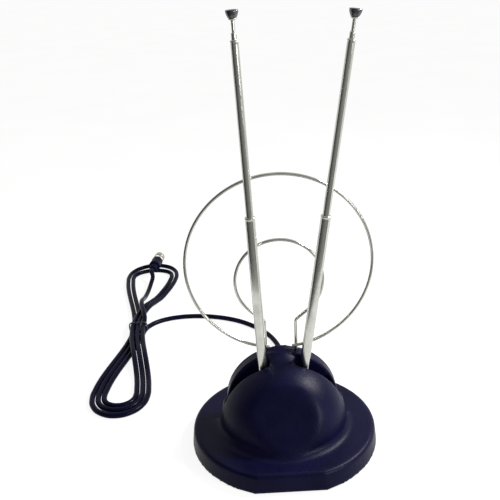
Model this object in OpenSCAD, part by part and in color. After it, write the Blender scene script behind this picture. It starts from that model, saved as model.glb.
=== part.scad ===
// Indoor set-top aerial: two telescopic arms over a weighted base, with a
// double wire loop behind them and a thin coaxial lead that ends in a screw plug.
// Millimetres, +Z up, front towards -Y, origin on the floor under the base's centre.

/* [Base] */
// Radius of the plinth at its top edge
base_r = 65; // [60:1:80]
// Distance from the centre to the plinth's front and rear flats
base_flat = 61; // [56:0.5:61]
// Height of the plinth's top face
base_h = 14; // [13:0.5:20]
// Draft of the plinth's side wall over its height
base_draft = 1.2; // [0:0.1:2]
// Thickness of the moulded walls
wall = 2.2; // [1.8:0.1:2.6]

/* [Dome] */
// Radius of the front dome
dome_r = 44.5; // [43:0.5:47]
// Height of the dome's centre
dome_z = 18; // [16:0.5:20]
// Distance from the dome's centre to its flat round face
face_d = 38.5; // [36:0.5:41]
// Angle of the flat face's axis above the horizontal
face_tilt = 30; // [15:1:45]
// Radius of the flare where the dome meets the plinth
flare_r = 6; // [3:0.5:8]
// Radius of the rear arch
arch_r = 40; // [38:0.5:42]
// Height of the rear arch's centre
arch_z = 27; // [25:0.5:29]

/* [Arms] */
// Height of the arm pivots
pivot_z = 36.5; // [36:0.5:38]
// Distance of each pivot from the centre plane
pivot_x = 12.5; // [12.5:0.1:14]
// Resting lean of the left arm
lean_left = 2.4; // [0:0.1:20]
// Resting lean of the right arm
lean_right = 8; // [0:0.1:20]
// Diameter of the outer tube
tube1_d = 6.8; // [6.4:0.1:7]
// Diameter of the second tube
tube2_d = 5; // [4.8:0.1:5.2]
// Diameter of the third tube
tube3_d = 3.4; // [3.2:0.1:3.6]
// Diameter of the tip rod
rod_d = 2.2; // [1.8:0.1:2.2]
// Distance from the pivot to the outer tube's lip
tube1_end = 134; // [120:1:160]
// Length of the second tube that shows above the lip
tube2_show = 110.5; // [90:0.5:110.5]

/* [Loops] */
// Centreline radius of the large ring
ring_outer_r = 63; // [55:1:68]
// Centreline radius of the small ring
ring_inner_r = 30; // [26:1:33]
// Height of the small ring's centre
ring_inner_z = 120; // [116:1:130]
// Diameter of the loop wire
loop_wire_d = 2.2; // [1.8:0.1:2.2]

/* [Lead] */
// Diameter of the coaxial lead
cord_d = 4.5; // [4:0.1:5]

/* [Hidden] */
$fn = 48;
eps = 0.01;

// Height of the cover's rim above the floor
rim_z = 0.8;
// Inside of the plinth
base_in = base_r - wall;
flat_in = base_flat - wall;
top_edge_r = 3;

// Bottom plate, with its underside just inside the rim
plate_z = 1.2;
plate_t = 2.2;
plate_top = plate_z + plate_t;
plate_gap = 0.3;

// Rubber feet, let into the plate
foot_r = 6;
foot_h = 2;
foot_at = [44, 26];

// Case screws
case_screw_r = 1.45;
case_pilot_r = 1.47;
case_boss_r = 3.5;
case_screw_at = [40, 38];

// The slot that each arm swings in
slot_half = 4.4;
slot_in_x = 8.6;
slot_low_z = 32.6;
slot_wall = 2;
slot_wall_low_z = 46;

// The bridge between the slots: a round-backed rib that leaves the dome at a
// tangent and meets the top of the arch
bridge_r = 18;
bridge_sink = 0.4;
// Reach of the rib behind and in front of the line where it touches the ball
bridge_back = 40;
bridge_front = 3;
flare_sink = 0.1;
bridge_top = arch_z + arch_r - dome_z;
bridge_reach = sqrt(pow(bridge_top, 2) + pow(slot_half, 2));
bridge_tilt = acos(dome_r / bridge_reach) - atan2(slot_half, bridge_top);
bridge_low_z = 54;

// Rear arch and the cover that closes it
arch_front_y = slot_half;
arch_back_y = 13;
rear_cover_t = 2.2;
rear_lip = 1.5;
rear_screw_r = 1.2;
rear_pilot_r = 1.22;
rear_side_at = [34.4, 32];
rear_top_z = 58;

// Terminal board on the bottom plate's posts
board_z = 22.4;
board_t = 1.6;
board_top = board_z + board_t;
board_x = 33;
board_front_y = -17;
board_back_y = 12.2;
post_r = 3.4;
post_x = 28;
post_front_y = -12;
post_back_y = 7.5;
board_screw_r = 1.2;
board_pilot_r = 1.22;

// Arm brackets: a folded fork for each arm
fork_gap = 2.15;
fork_t = 1.2;
fork_r = 5.5;
rivet_r = 1.2;
rivet_hole_r = 1.22;
rivet_x = 3.4;

// Pivot hardware
pivot_r = 1.5;
pivot_bore_r = 1.55;
pivot_fit_r = 1.52;
washer_t = 0.8;
nut_h = 2.4;
nut_r = 3.2;
head_r = 2.9;
head_h = 1.6;

// Knuckle at the foot of each arm
knuckle_t = 4;
knuckle_r = 4.2;
knuckle_top = 9;
knuckle_plug_top = 17;

// Telescopic sections, measured along the arm from the pivot
run_gap = 0.03;
tube_wall1 = 0.4;
tube_wall2 = 0.35;
tube_wall3 = 0.3;
bore1_r = tube1_d / 2 - tube_wall1;
bore2_r = tube2_d / 2 - tube_wall2;
bore3_r = tube3_d / 2 - tube_wall3;
lip_h = 3;
lip_gap = 0.05;
tube2_low = 120;
tube2_end = tube1_end + tube2_show;
tube3_end = tube2_end + 4;
tube3_low = tube3_end - 122;
rod_low = tube3_low + 8;
cap_low = tube3_end + 7.8;
cap_h = 5;
cap_r = 3.9;
cap_foot_r = 2.7;
sleeve_h = 8;
sleeve_split = 0.8;

// Wire loops: the large ring's wire lies against the front of the small ring's legs
loop_y = 9.4;
leg_x = 10.8;
leg_low_z = board_top + 2;
leg_leave = 40;
leg_bend_r = 4;
wire_r = loop_wire_d / 2;
// The straight wires are a hair thinner and run a little way into the bends
wire_lap = 0.3;
wire_step = 0.04;
ring_outer_y = loop_y - loop_wire_d + 0.05;
ring_outer_z = arch_z + arch_r + ring_outer_r + 3;
ring_outer_open = 7;
socket_r = 2.5;
socket_h = 14;
socket_bore_r = wire_r + 0.05;

// Balun on the board
core_size = [14, 9, 7.5];
core_at = [0, -10.5];
core_bore_r = 1.8;
core_bore_x = 3.4;
winding_r = 0.35;

// Ballast bars each side of the posts
ballast = [20, 56, 7.6];
ballast_x = 34;
ballast_screw_y = 14;

// Where the lead leaves the plinth
exit_z = 7;
gland_flange_r = 5.2;
// The drafted rear face where the gland's flange sits, and its lean
gland_seat_y = base_flat + base_draft * (base_h - top_edge_r - exit_z) / (base_h - top_edge_r - rim_z);
draft_angle = atan2(base_draft, base_h - top_edge_r - rim_z);
gland_tail = 8;
gland_neck_r = 3.8;
gland_inner_r = min(gland_neck_r + 1, base_h - wall - exit_z);
cord_r = cord_d / 2;
clamp_y = 42;
clamp_z = plate_top + cord_r;

// Route of the lead over the floor, from the gland to the hank
lead_route = [
    [0, base_flat + 1.6 + gland_tail, 7], [2, 80, 4.8], [4.2, 92, 2.5], [6, 110, 2.3], [5, 126, 2.3],
    [-3, 150, 2.3], [-19, 171, 2.3], [-40, 186, 2.3], [-64, 193.8, 2.3], [-88, 194.2, 2.3],
    [-106.5, 187.2, 2.3], [-115, 177.6, 2.4]
];
// Route from the hank's waist up to the plug
tail_route = [
    [-119, 184, 6.4], [-120.5, 198, 11.6], [-123.5, 210, 11.9], [-125.4, 226, 8.6], [-124.8, 246, 6.9],
    [-123.4, 266, 6.9], [-122.3, 282, 8.6], [-121.6, 291, 10.6], [-121, 296, 10.9]
];
// Route of the lead inside the base
inner_route = [
    [0, base_flat - 3, 7], [0, 50, 6], [0, clamp_y, clamp_z], [0, 33, clamp_z], [0, 24, 6],
    [0, 15, 6.6], [0, 9, 8.6], [0, 5.6, 12.5], [0, 4.6, 17.5], [0, 5, 22.3]
];

// Hank: two long lobes that meet at a tied waist
hank_h = 4.6;
hank_waist = [-124, 172];
hank_waist_r = 9;
hank_near = [-127, 57];
hank_near_r = 25;
hank_far = [-121.5, 298];
hank_far_r = 30;
hank_mid_h = 9.4;
hank_mid_l = 30;
hank_mid_w = 15;
tie_w = 4;
tie_t = 1;

// Screw plug lying on the hank's far end
plug_at = [-121, 296, 10.9];
plug_turn = -8;
boot_step_l = 8;
boot_step_r = 3.9;
boot_l = 15;
boot_r = 6.2;
collar_l = 3;
plug_nut_l = 11;
plug_nut_r = 5.7;
plug_thread_r = 4.5;
pin_r = 0.5;
pin_root_r = 0.3;
plug_face = boot_step_l + boot_l + collar_l;

// ---------- helpers ----------

// A copy of the children at each sign pair of a rectangle's half sizes
module at_corners(half) {
    for (x = [-half[0], half[0]])
        for (y = [-half[1], half[1]])
            translate([x, y, 0]) children();
}

// A cylinder whose axis runs along Y from y0 to y1
module rod_y(r, y0, y1) {
    translate([0, y1, 0]) rotate([90, 0, 0]) cylinder(r = r, h = y1 - y0);
}

// A tube along Z
module pipe(r_out, r_in, z0, z1) {
    difference() {
        translate([0, 0, z0]) cylinder(r = r_out, h = z1 - z0);
        translate([0, 0, z0 - 1]) cylinder(r = r_in, h = z1 - z0 + 2);
    }
}

// A pan-head screw along Z, head downwards, from the head's face at z0 to its tip at z1
module screw_up(r, hr, hh, z0, z1) {
    translate([0, 0, z0]) cylinder(r = hr, h = hh);
    translate([0, 0, z0]) cylinder(r = r, h = z1 - z0);
}

// Catmull-Rom point between p1 and p2
function curve_at(p0, p1, p2, p3, t) =
    0.5 * (2 * p1 + (p2 - p0) * t + (2 * p0 - 5 * p1 + 4 * p2 - p3) * t * t
        + (3 * p1 - p0 - 3 * p2 + p3) * t * t * t);

// The route with more points between its own
function smooth_route(p, steps) = [
    for (i = [0 : len(p) - 2])
        for (s = [0 : steps - 1])
            curve_at(p[max(i - 1, 0)], p[i], p[i + 1], p[min(i + 2, len(p) - 1)], s / steps),
    p[len(p) - 1]
];

function unit(v) = v / norm(v);

// Direction of travel at point i of a path
function heading(p, i) = unit(p[min(i + 1, len(p) - 1)] - p[max(i - 1, 0)]);

// One ring of points round point i of a path that is never upright
function ring_at(p, i, r, sides) =
    let (t = heading(p, i), side = unit(cross(t, [0, 0, 1])), up = cross(side, t))
    [for (k = [0 : sides - 1]) p[i] + r * (cos(360 * k / sides) * side + sin(360 * k / sides) * up)];

// A round tube swept along a path
module swept_tube(path, r, sides) {
    rings = len(path);
    points = [for (i = [0 : rings - 1]) each ring_at(path, i, r, sides)];
    walls = [
        for (i = [0 : rings - 2])
            for (k = [0 : sides - 1])
                let (n = (k + 1) % sides)
                [i * sides + k, i * sides + n, (i + 1) * sides + n, (i + 1) * sides + k]
    ];
    near_end = [[for (k = [sides - 1 : -1 : 0]) k]];
    far_end = [[for (k = [0 : sides - 1]) (rings - 1) * sides + k]];
    polyhedron(points, concat(walls, near_end, far_end), convexity = 6);
}

// Two circles joined by their outer tangents
module taper_link(c1, r1, c2, r2) {
    along = c2 - c1;
    gap = norm(along);
    a = atan2(along[1], along[0]);
    s = acos((r1 - r2) / gap);
    translate(c1) circle(r = r1);
    translate(c2) circle(r = r2);
    polygon([
        c1 + r1 * [cos(a + s), sin(a + s)], c1 + r1 * [cos(a - s), sin(a - s)],
        c2 + r2 * [cos(a - s), sin(a - s)], c2 + r2 * [cos(a + s), sin(a + s)]
    ]);
}

// ---------- moulded case ----------

// Outline of the plinth: a disc with a flat at the front and one at the rear
module plan(r, flat) {
    intersection() {
        circle(r = r, $fn = 96);
        square([2 * r + 2, 2 * flat], center = true);
    }
}

// Half section of the drafted disc with its rounded top edge
module plinth_section(reach) {
    r = top_edge_r;
    intersection() {
        polygon([[0, rim_z], [reach + base_draft, rim_z], [reach, base_h - r], [reach, base_h], [0, base_h]]);
        union() {
            square([reach - r, base_h + 1]);
            square([reach + base_draft + 1, base_h - r]);
            translate([reach - r, base_h - r]) circle(r = r);
        }
    }
}

// Solid outside of the plinth
module plinth_outer() {
    intersection() {
        rotate_extrude($fn = 96) plinth_section(base_r);
        rotate([90, 0, 90]) linear_extrude(height = 3 * base_r, center = true) {
            plinth_section(base_flat);
            mirror([1, 0]) plinth_section(base_flat);
        }
    }
}

// Half section of the body that trims a ball of radius r to a flat face with an eased edge
module face_section(r, face, edge) {
    steps = 3;
    cx = sqrt(pow(r - edge, 2) - pow(face - edge, 2));
    cy = face - edge;
    start = atan2(cy, cx);
    arc = [
        for (k = [0 : steps])
            let (a = start + (90 - start) * k / steps)
            [cx + edge * cos(a), cy + edge * sin(a)]
    ];
    lead_in = arc[0] + 12 * unit(arc[0] - arc[1]);
    rest = [for (k = [1 : steps]) arc[k]];
    polygon(concat([[0, -r - 1], [r + 6, -r - 1], [r + 6, lead_in[1]], lead_in], rest, [[0, face]]));
}

// Dome body in front of the plane y = back
module dome_body(r, face, edge, back) {
    intersection() {
        translate([0, 0, dome_z]) sphere(r = r, $fn = 96);
        translate([0, 0, dome_z]) rotate([90 - face_tilt, 0, 0]) rotate_extrude($fn = 96)
            face_section(r, face, edge);
        translate([-100, -100, base_h - 3]) cube([200, 100 + back, 100]);
    }
}

// The flare round the dome's foot
module flare(back) {
    cz = base_h + flare_r;
    cx = sqrt(pow(dome_r + flare_r, 2) - pow(cz - dome_z, 2)) - flare_sink;
    intersection() {
        rotate_extrude($fn = 96) difference() {
            translate([dome_r - 6, base_h - 1]) square([cx - dome_r + 6, flare_r + 0.75]);
            translate([cx, cz]) circle(r = flare_r);
        }
        translate([-100, -100, 0]) cube([200, 100 + back, 100]);
    }
}

// Arch outline in the XZ plane: upright sides under a half round
module arch_outline(r, low) {
    intersection() {
        union() {
            translate([0, arch_z]) circle(r = r, $fn = 96);
            translate([-r, low]) square([2 * r, arch_z - low]);
        }
        translate([-r - 1, low]) square([2 * r + 2, arch_z + r]);
    }
}

// Arch block between two planes of Y
module arch_body(r, low, y0, y1) {
    translate([0, y1, 0]) rotate([90, 0, 0]) linear_extrude(height = y1 - y0) arch_outline(r, low);
}

// The round-backed rib between the slots
module bridge_body() {
    intersection() {
        translate([0, 0, dome_z]) rotate([bridge_tilt, 0, 0]) translate([0, 0, dome_r - bridge_r - bridge_sink])
            rotate([90, 0, 0]) translate([0, 0, -bridge_back])
                cylinder(r = bridge_r, h = bridge_back + bridge_front);
        translate([-bridge_r, -30, bridge_low_z]) cube([2 * bridge_r, 30 + arch_back_y - 1, 40]);
    }
}

// Everything outside of the case, solid
module case_outer() {
    plinth_outer();
    dome_body(dome_r, face_d, 3, slot_half);
    flare(slot_half);
    arch_body(arch_r, base_h - 1, arch_front_y, arch_back_y);
    bridge_body();
}

// Hollow of the case
module case_inner() {
    translate([0, 0, -1]) linear_extrude(height = base_h - wall + 1) plan(base_in, flat_in);
    dome_body(dome_r - wall, face_d - wall, 1, slot_half - wall);
    arch_body(arch_r - wall, base_h - 4, -2, arch_back_y + 1);
}

// The swing slot of one arm
module arm_slot(side) {
    x0 = slot_in_x + slot_half;
    translate([side * x0, 0, slot_low_z]) cylinder(r = slot_half, h = 50);
    translate([side > 0 ? x0 : -x0 - 60, -slot_half, slot_low_z]) cube([60, 2 * slot_half, 50]);
}

// Walls along both sides of the slots, and the bridge's own walls between them
module slot_walls() {
    intersection() {
        case_outer();
        union() {
            for (y = [-slot_half - slot_wall, slot_half])
                translate([-60, y, slot_wall_low_z]) cube([120, slot_wall, 60]);
            difference() {
                translate([-slot_in_x - 3, -slot_half - eps, bridge_low_z])
                    cube([2 * slot_in_x + 6, 2 * slot_half + 2 * eps, 30]);
                translate([-slot_in_x + wall, -slot_half + 0.4, bridge_low_z - 1])
                    cube([2 * (slot_in_x - wall), 2 * slot_half - 0.8, 6]);
            }
        }
    }
}

// Side boss for a rear cover screw, tied to the arch's wall
module rear_side_boss(side) {
    translate([side * rear_side_at[0], 0, rear_side_at[1]]) rod_y(3, slot_half + 0.8, arch_back_y);
    translate([side > 0 ? rear_side_at[0] : -arch_r + 1, slot_half + 0.8, rear_side_at[1] - 1.5])
        cube([arch_r - 1 - rear_side_at[0], arch_back_y - slot_half - 0.8, 3]);
}

module housing_cover() {
    color([0.05, 0.05, 0.08]) difference() {
        union() {
            difference() {
                case_outer();
                case_inner();
            }
            slot_walls();
            at_corners(case_screw_at) translate([0, 0, plate_top])
                cylinder(r = case_boss_r, h = base_h - wall - plate_top + 1);
            translate([0, 0, rear_top_z]) rod_y(3, slot_half + 1, arch_back_y);
            for (side = [-1, 1]) rear_side_boss(side);
        }
        for (side = [-1, 1]) {
            arm_slot(side);
            translate([side * leg_x, loop_y, 50]) cylinder(r = wire_r + 0.3, h = 30);
            translate([side * rear_side_at[0], 0, rear_side_at[1]]) rod_y(rear_pilot_r, 6, arch_back_y + 1);
        }
        translate([0, 0, rear_top_z]) rod_y(rear_pilot_r, 7, arch_back_y + 1);
        at_corners(case_screw_at) translate([0, 0, 0]) cylinder(r = case_pilot_r, h = base_h - 3);
        translate([0, 0, exit_z]) rod_y(gland_neck_r, flat_in - 5, base_flat + 5);
    }
}

module rear_cover() {
    color([0.05, 0.05, 0.08]) difference() {
        union() {
            arch_body(arch_r, base_h, arch_back_y, arch_back_y + rear_cover_t);
            difference() {
                arch_body(arch_r - wall - 0.2, base_h + 0.2, arch_back_y - 1.6, arch_back_y + eps);
                arch_body(arch_r - wall - 0.2 - rear_lip, base_h - 5, arch_back_y - 5, arch_back_y);
                for (side = [-1, 1])
                    translate([side * rear_side_at[0], 0, rear_side_at[1]]) rod_y(6, 0, arch_back_y);
            }
        }
        for (side = [-1, 1])
            translate([side * rear_side_at[0], 0, rear_side_at[1]]) rod_y(rear_screw_r + 0.2, 0, 30);
        translate([0, 0, rear_top_z]) rod_y(rear_screw_r + 0.2, 0, 30);
    }
}

// A pan-head screw along Y, head outwards at the rear
module rear_screw() {
    face = arch_back_y + rear_cover_t;
    rod_y(2.4, face, face + 1.5);
    rod_y(rear_screw_r, 7.5, face + 0.5);
}

module rear_cover_screws() {
    color([0.7, 0.7, 0.72]) {
        translate([0, 0, rear_top_z]) rear_screw();
        for (side = [-1, 1])
            translate([side * rear_side_at[0], 0, rear_side_at[1]]) rear_screw();
    }
}

// Posts that carry the terminal board
module at_posts() {
    for (x = [-post_x, post_x])
        for (y = [post_front_y, post_back_y])
            translate([x, y, 0]) children();
}

module at_ballast_screws() {
    for (side = [-1, 1])
        for (y = [-ballast_screw_y, ballast_screw_y])
            translate([side * (ballast_x + ballast[0] / 2), y, 0]) children();
}

module bottom_plate() {
    color([0.06, 0.06, 0.07]) difference() {
        union() {
            translate([0, 0, plate_z]) linear_extrude(height = plate_t)
                plan(base_in - plate_gap, flat_in - plate_gap);
            at_posts() translate([0, 0, plate_top - eps]) cylinder(r = post_r, h = board_z - plate_top + eps);
        }
        at_corners(case_screw_at) {
            cylinder(r = case_screw_r + 0.2, h = 10);
            cylinder(r = 3.1, h = plate_z + 1.2);
        }
        at_corners(foot_at) cylinder(r = foot_r + 0.1, h = foot_h);
        at_posts() translate([0, 0, board_z - 12]) cylinder(r = board_pilot_r, h = 20);
        at_ballast_screws() {
            cylinder(r = 1.7, h = 10);
            cylinder(r = 3.1, h = plate_z + 1.2);
        }
        for (side = [-1, 1]) translate([side * 7, clamp_y, plate_z + 0.6]) cylinder(r = 1.02, h = 5);
        translate([-gland_flange_r, flat_in - 3.4, 0]) cube([2 * gland_flange_r, 10, 10]);
    }
}

module base_screws() {
    color([0.7, 0.7, 0.72]) at_corners(case_screw_at)
        screw_up(case_screw_r, 2.8, 1.1, plate_z + 0.1, base_h - 4);
}

module rubber_feet() {
    color([0.1, 0.1, 0.1]) at_corners(foot_at) cylinder(r = foot_r, h = foot_h);
}

module ballast_weights() {
    color([0.45, 0.45, 0.47]) difference() {
        for (side = [-1, 1])
            translate([side > 0 ? ballast_x : -ballast_x - ballast[0], -ballast[1] / 2, plate_top]) cube(ballast);
        at_ballast_screws() cylinder(r = 1.52, h = 20);
    }
}

module ballast_screws() {
    color([0.7, 0.7, 0.72]) at_ballast_screws() screw_up(1.5, 2.8, 1.1, plate_z + 0.1, plate_top + 6);
}

// ---------- board and arm mountings ----------

module at_rivets() {
    for (side = [-1, 1])
        for (x = [-rivet_x, rivet_x])
            translate([side * pivot_x + x, 0, 0]) children();
}

module terminal_board() {
    color([0.62, 0.42, 0.2]) difference() {
        translate([-board_x, board_front_y, board_z]) cube([2 * board_x, board_back_y - board_front_y, board_t]);
        at_posts() translate([0, 0, board_z - 1]) cylinder(r = board_screw_r + 0.2, h = 5);
        at_rivets() translate([0, 0, board_z - 1]) cylinder(r = rivet_hole_r, h = 5);
    }
}

module board_screws() {
    color([0.7, 0.7, 0.72]) at_posts() {
        translate([0, 0, board_top]) cylinder(r = 2.4, h = 1.5);
        translate([0, 0, board_z - 8]) cylinder(r = board_screw_r, h = 8 + board_t + 0.5);
    }
}

// Fork bracket of one arm: two cheeks folded up from a riveted foot
module arm_bracket(side) {
    web_top = board_top + fork_t;
    color([0.72, 0.72, 0.74]) translate([side * pivot_x, 0, 0]) difference() {
        union() {
            translate([-fork_r, -fork_gap - fork_t, board_top]) cube([2 * fork_r, 2 * (fork_gap + fork_t), fork_t]);
            for (y = [-fork_gap - fork_t, fork_gap]) {
                translate([-fork_r, y, web_top - eps]) cube([2 * fork_r, fork_t, pivot_z - web_top + eps]);
                translate([0, 0, pivot_z]) rod_y(fork_r, y, y + fork_t);
            }
        }
        translate([0, 0, pivot_z]) rod_y(pivot_fit_r, -10, 10);
        for (x = [-rivet_x, rivet_x]) translate([x, 0, board_top - 1]) cylinder(r = rivet_hole_r, h = 5);
    }
}

module bracket_rivets() {
    web_top = board_top + fork_t;
    color([0.75, 0.66, 0.4]) at_rivets() {
        translate([0, 0, board_z - 0.8]) cylinder(r = 2, h = 0.8);
        translate([0, 0, board_z - 0.5]) cylinder(r = rivet_r, h = web_top - board_z + 1);
        translate([0, 0, web_top]) cylinder(r = 2, h = 0.8);
    }
}

// Puts the children at each arm's pivot
module at_pivots() {
    for (side = [-1, 1]) translate([side * pivot_x, 0, pivot_z]) children();
}

module pivot_screws() {
    cheek = fork_gap + fork_t;
    color([0.75, 0.75, 0.77]) at_pivots() difference() {
        union() {
            rod_y(pivot_r, -cheek - washer_t - nut_h - 0.8, cheek + 0.5);
            rod_y(head_r, cheek, cheek + head_h);
        }
        translate([-4, cheek + head_h - 0.7, -0.4]) cube([8, 2, 0.8]);
    }
}

module pivot_nuts() {
    cheek = fork_gap + fork_t;
    color([0.72, 0.72, 0.74]) at_pivots() difference() {
        translate([0, -cheek - washer_t, 0]) rotate([90, 0, 0]) cylinder(r = nut_r, h = nut_h, $fn = 6);
        rod_y(pivot_fit_r, -12, 0);
    }
}

module spring_washers() {
    cheek = fork_gap + fork_t;
    color([0.6, 0.6, 0.62]) at_pivots() difference() {
        rod_y(2.8, -cheek - washer_t, -cheek);
        rod_y(pivot_fit_r, -12, 0);
        translate([0, -8, -0.4]) cube([5, 8, 0.8]);
    }
}

// ---------- telescopic arms ----------

// The frame of one arm: origin at its pivot, +Z along the arm
module arm_frame(side) {
    translate([side * pivot_x, 0, pivot_z]) rotate([0, side > 0 ? lean_right : -lean_left, 0]) children();
}

module knuckle() {
    color([0.78, 0.78, 0.8]) difference() {
        union() {
            rod_y(knuckle_r, -knuckle_t / 2, knuckle_t / 2);
            translate([-bore1_r + 0.2, -knuckle_t / 2, 0]) cube([2 * bore1_r - 0.4, knuckle_t, knuckle_top + 0.5]);
            translate([0, 0, knuckle_top]) cylinder(r = bore1_r - 0.02, h = knuckle_plug_top - knuckle_top);
        }
        rod_y(pivot_bore_r, -6, 6);
    }
}

// Half section of a tube's top lip, rolled in to the next section's size
module lip_section(r_out, r_next) {
    polygon([
        [r_next + lip_gap, -lip_h], [r_out, -lip_h], [r_out, -1.2],
        [r_out - 0.15, -0.5], [r_out - 0.45, 0], [r_next + lip_gap, 0]
    ]);
}

// One telescopic tube with a rolled lip at its top
module telescope_tube(r_out, r_in, r_next, z0, z1) {
    color([0.85, 0.85, 0.87]) {
        pipe(r_out, r_in, z0, z1 - lip_h);
        translate([0, 0, z1]) rotate_extrude() lip_section(r_out, r_next);
    }
}

// Split friction sleeve round the foot of an inner section
module friction_sleeve(bore, inner, z0, h) {
    color([0.8, 0.66, 0.35]) difference() {
        pipe(bore - run_gap, inner, z0, z0 + h);
        translate([0, -sleeve_split / 2, z0 - 1]) cube([10, sleeve_split, h + 2]);
    }
}

module outer_tube() {
    telescope_tube(tube1_d / 2, bore1_r, tube2_d / 2, knuckle_top + 0.5, tube1_end);
}

module second_tube() {
    telescope_tube(tube2_d / 2, bore2_r, tube3_d / 2, tube2_low, tube2_end);
}

module second_sleeve() {
    friction_sleeve(bore1_r, tube2_d / 2, tube2_low + 1.5, sleeve_h);
}

module third_tube() {
    telescope_tube(tube3_d / 2, bore3_r, rod_d / 2, tube3_low, tube3_end);
}

module third_sleeve() {
    friction_sleeve(bore2_r, tube3_d / 2, tube3_low + 1.5, sleeve_h);
}

module tip_rod() {
    color([0.85, 0.85, 0.87]) {
        translate([0, 0, rod_low]) cylinder(r = rod_d / 2, h = cap_low + 2 - rod_low);
        translate([0, 0, cap_low - 0.9]) cylinder(r = 1.9, h = 0.9);
    }
}

module rod_sleeve() {
    friction_sleeve(bore3_r, rod_d / 2, rod_low + 0.5, 6);
}

module tip_cap() {
    color([0.12, 0.12, 0.14]) difference() {
        translate([0, 0, cap_low]) rotate_extrude() polygon([
            [0, 0], [cap_foot_r - 0.3, 0], [cap_foot_r, 0.3], [cap_r, cap_h - 1.6],
            [cap_r, cap_h - 0.5], [cap_r - 0.5, cap_h], [0, cap_h]
        ]);
        translate([0, 0, cap_low - 1]) cylinder(r = rod_d / 2, h = 3);
    }
}

// ---------- wire loops ----------

// A wire along a straight line in the XZ plane
module wire_line(x0, z0, x1, z1) {
    translate([x0, 0, z0]) rotate([0, atan2(x1 - x0, z1 - z0), 0]) translate([0, 0, -wire_lap])
        cylinder(r = wire_r - wire_step, h = norm([x1 - x0, z1 - z0]) + 2 * wire_lap);
}

// A wire arc in the XZ plane, from angle a0 over da, measured from +X towards +Z
module wire_arc(x, z, r, a0, da) {
    translate([x, 0, z]) rotate([90, 0, 0]) rotate([0, 0, a0]) rotate_extrude(angle = da, $fn = 96)
        translate([r, 0]) circle(r = wire_r, $fn = 24);
}

module small_ring() {
    turn = 90 - leg_leave;
    leave_x = ring_inner_r * sin(leg_leave);
    leave_z = ring_inner_z - ring_inner_r * cos(leg_leave);
    corner_z = leave_z - (leave_x - leg_x) * tan(leg_leave);
    cut = leg_bend_r * tan(turn / 2);
    bend_x = leg_x + leg_bend_r;
    bend_z = corner_z - cut;
    color([0.82, 0.82, 0.84]) translate([0, loop_y, 0]) {
        wire_arc(0, ring_inner_z, ring_inner_r, leg_leave - 90, 360 - 2 * leg_leave);
        for (side = [-1, 1]) mirror([side > 0 ? 0 : 1, 0, 0]) {
            wire_line(leave_x, leave_z, leg_x + cut * cos(leg_leave), corner_z + cut * sin(leg_leave));
            wire_arc(bend_x, bend_z, leg_bend_r, 180 - turn, turn);
            wire_line(leg_x, leg_low_z, leg_x, bend_z);
        }
    }
}

module large_ring() {
    color([0.82, 0.82, 0.84]) translate([0, ring_outer_y, 0])
        wire_arc(0, ring_outer_z, ring_outer_r, ring_outer_open - 90, 360 - 2 * ring_outer_open);
}

module loop_sockets() {
    color([0.8, 0.66, 0.35]) for (side = [-1, 1]) translate([side * leg_x, loop_y, 0]) difference() {
        translate([0, 0, board_top]) cylinder(r = socket_r, h = socket_h);
        translate([0, 0, leg_low_z - wire_lap]) cylinder(r = socket_bore_r, h = socket_h);
        translate([0, 0, board_top + 9]) rotate([0, side * 90, 0]) cylinder(r = 1.02, h = 5);
    }
}

module loop_set_screws() {
    color([0.7, 0.7, 0.72]) for (side = [-1, 1])
        translate([side * (leg_x + wire_r + 0.05), loop_y, board_top + 9]) rotate([0, side * 90, 0]) {
            cylinder(r = 1, h = 3);
            translate([0, 0, socket_r - wire_r + 0.1]) cylinder(r = 1.8, h = 1.4);
        }
}

// ---------- balun ----------

module ferrite_core() {
    color([0.2, 0.2, 0.22]) translate([core_at[0], core_at[1], board_top]) difference() {
        translate([-core_size[0] / 2, -core_size[1] / 2, 0]) cube(core_size);
        for (side = [-1, 1])
            translate([side * core_bore_x, 0, core_size[2] / 2]) rod_y(core_bore_r, -10, 10);
    }
}

// One turn of wire through both bores of the core
module winding_turn() {
    half = core_size[1] / 2 + 0.6;
    for (side = [-1, 1]) {
        translate([side * core_bore_x, 0, 0]) rod_y(winding_r, -half, half);
        translate([0, side * half, 0]) rotate([0, 0, side > 0 ? 0 : 180])
            rotate_extrude(angle = 180) translate([core_bore_x, 0]) circle(r = winding_r, $fn = 16);
    }
}

module balun_windings() {
    color([0.72, 0.35, 0.15]) translate([core_at[0], core_at[1], board_top + core_size[2] / 2])
        for (lift = [-0.9, 0, 0.9]) translate([0, 0, lift]) winding_turn();
}

module board_capacitors() {
    color([0.75, 0.45, 0.15]) for (side = [-1, 1]) translate([side * 20, -10, board_top]) {
        translate([0, 0, 4.6]) rod_y(3, -1, 1);
        for (x = [-1.5, 1.5]) translate([x, 0, 0]) cylinder(r = 0.3, h = 3);
    }
}

// Insulated jumpers on the board in front of each bracket
module jumper_wires() {
    color([0.7, 0.1, 0.1]) for (side = [-1, 1]) translate([side * pivot_x, -4.85, board_top])
        rotate([90, 0, 0])
            rotate_extrude(angle = 180) translate([3, 0]) circle(r = 0.6, $fn = 16);
}

// ---------- lead ----------

module cord_gland() {
    color([0.06, 0.06, 0.06]) translate([0, 0, exit_z]) difference() {
        union() {
            rod_y(gland_neck_r - 0.02, flat_in - 3, base_flat + 1);
            translate([0, gland_seat_y, 0]) rotate([draft_angle, 0, 0]) rod_y(gland_flange_r, 0.02, 1.5);
            translate([0, base_flat + 1.6, 0]) rotate([-90, 0, 0])
                cylinder(r1 = gland_neck_r, r2 = cord_r + 0.7, h = gland_tail);
            rod_y(gland_inner_r, flat_in - 3, flat_in - 1.4);
        }
        rod_y(cord_r + 0.02, flat_in - 10, base_flat + 1.6 + gland_tail - 5);
        rod_y(cord_r - 0.3, flat_in - 10, base_flat + 20);
    }
}

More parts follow.
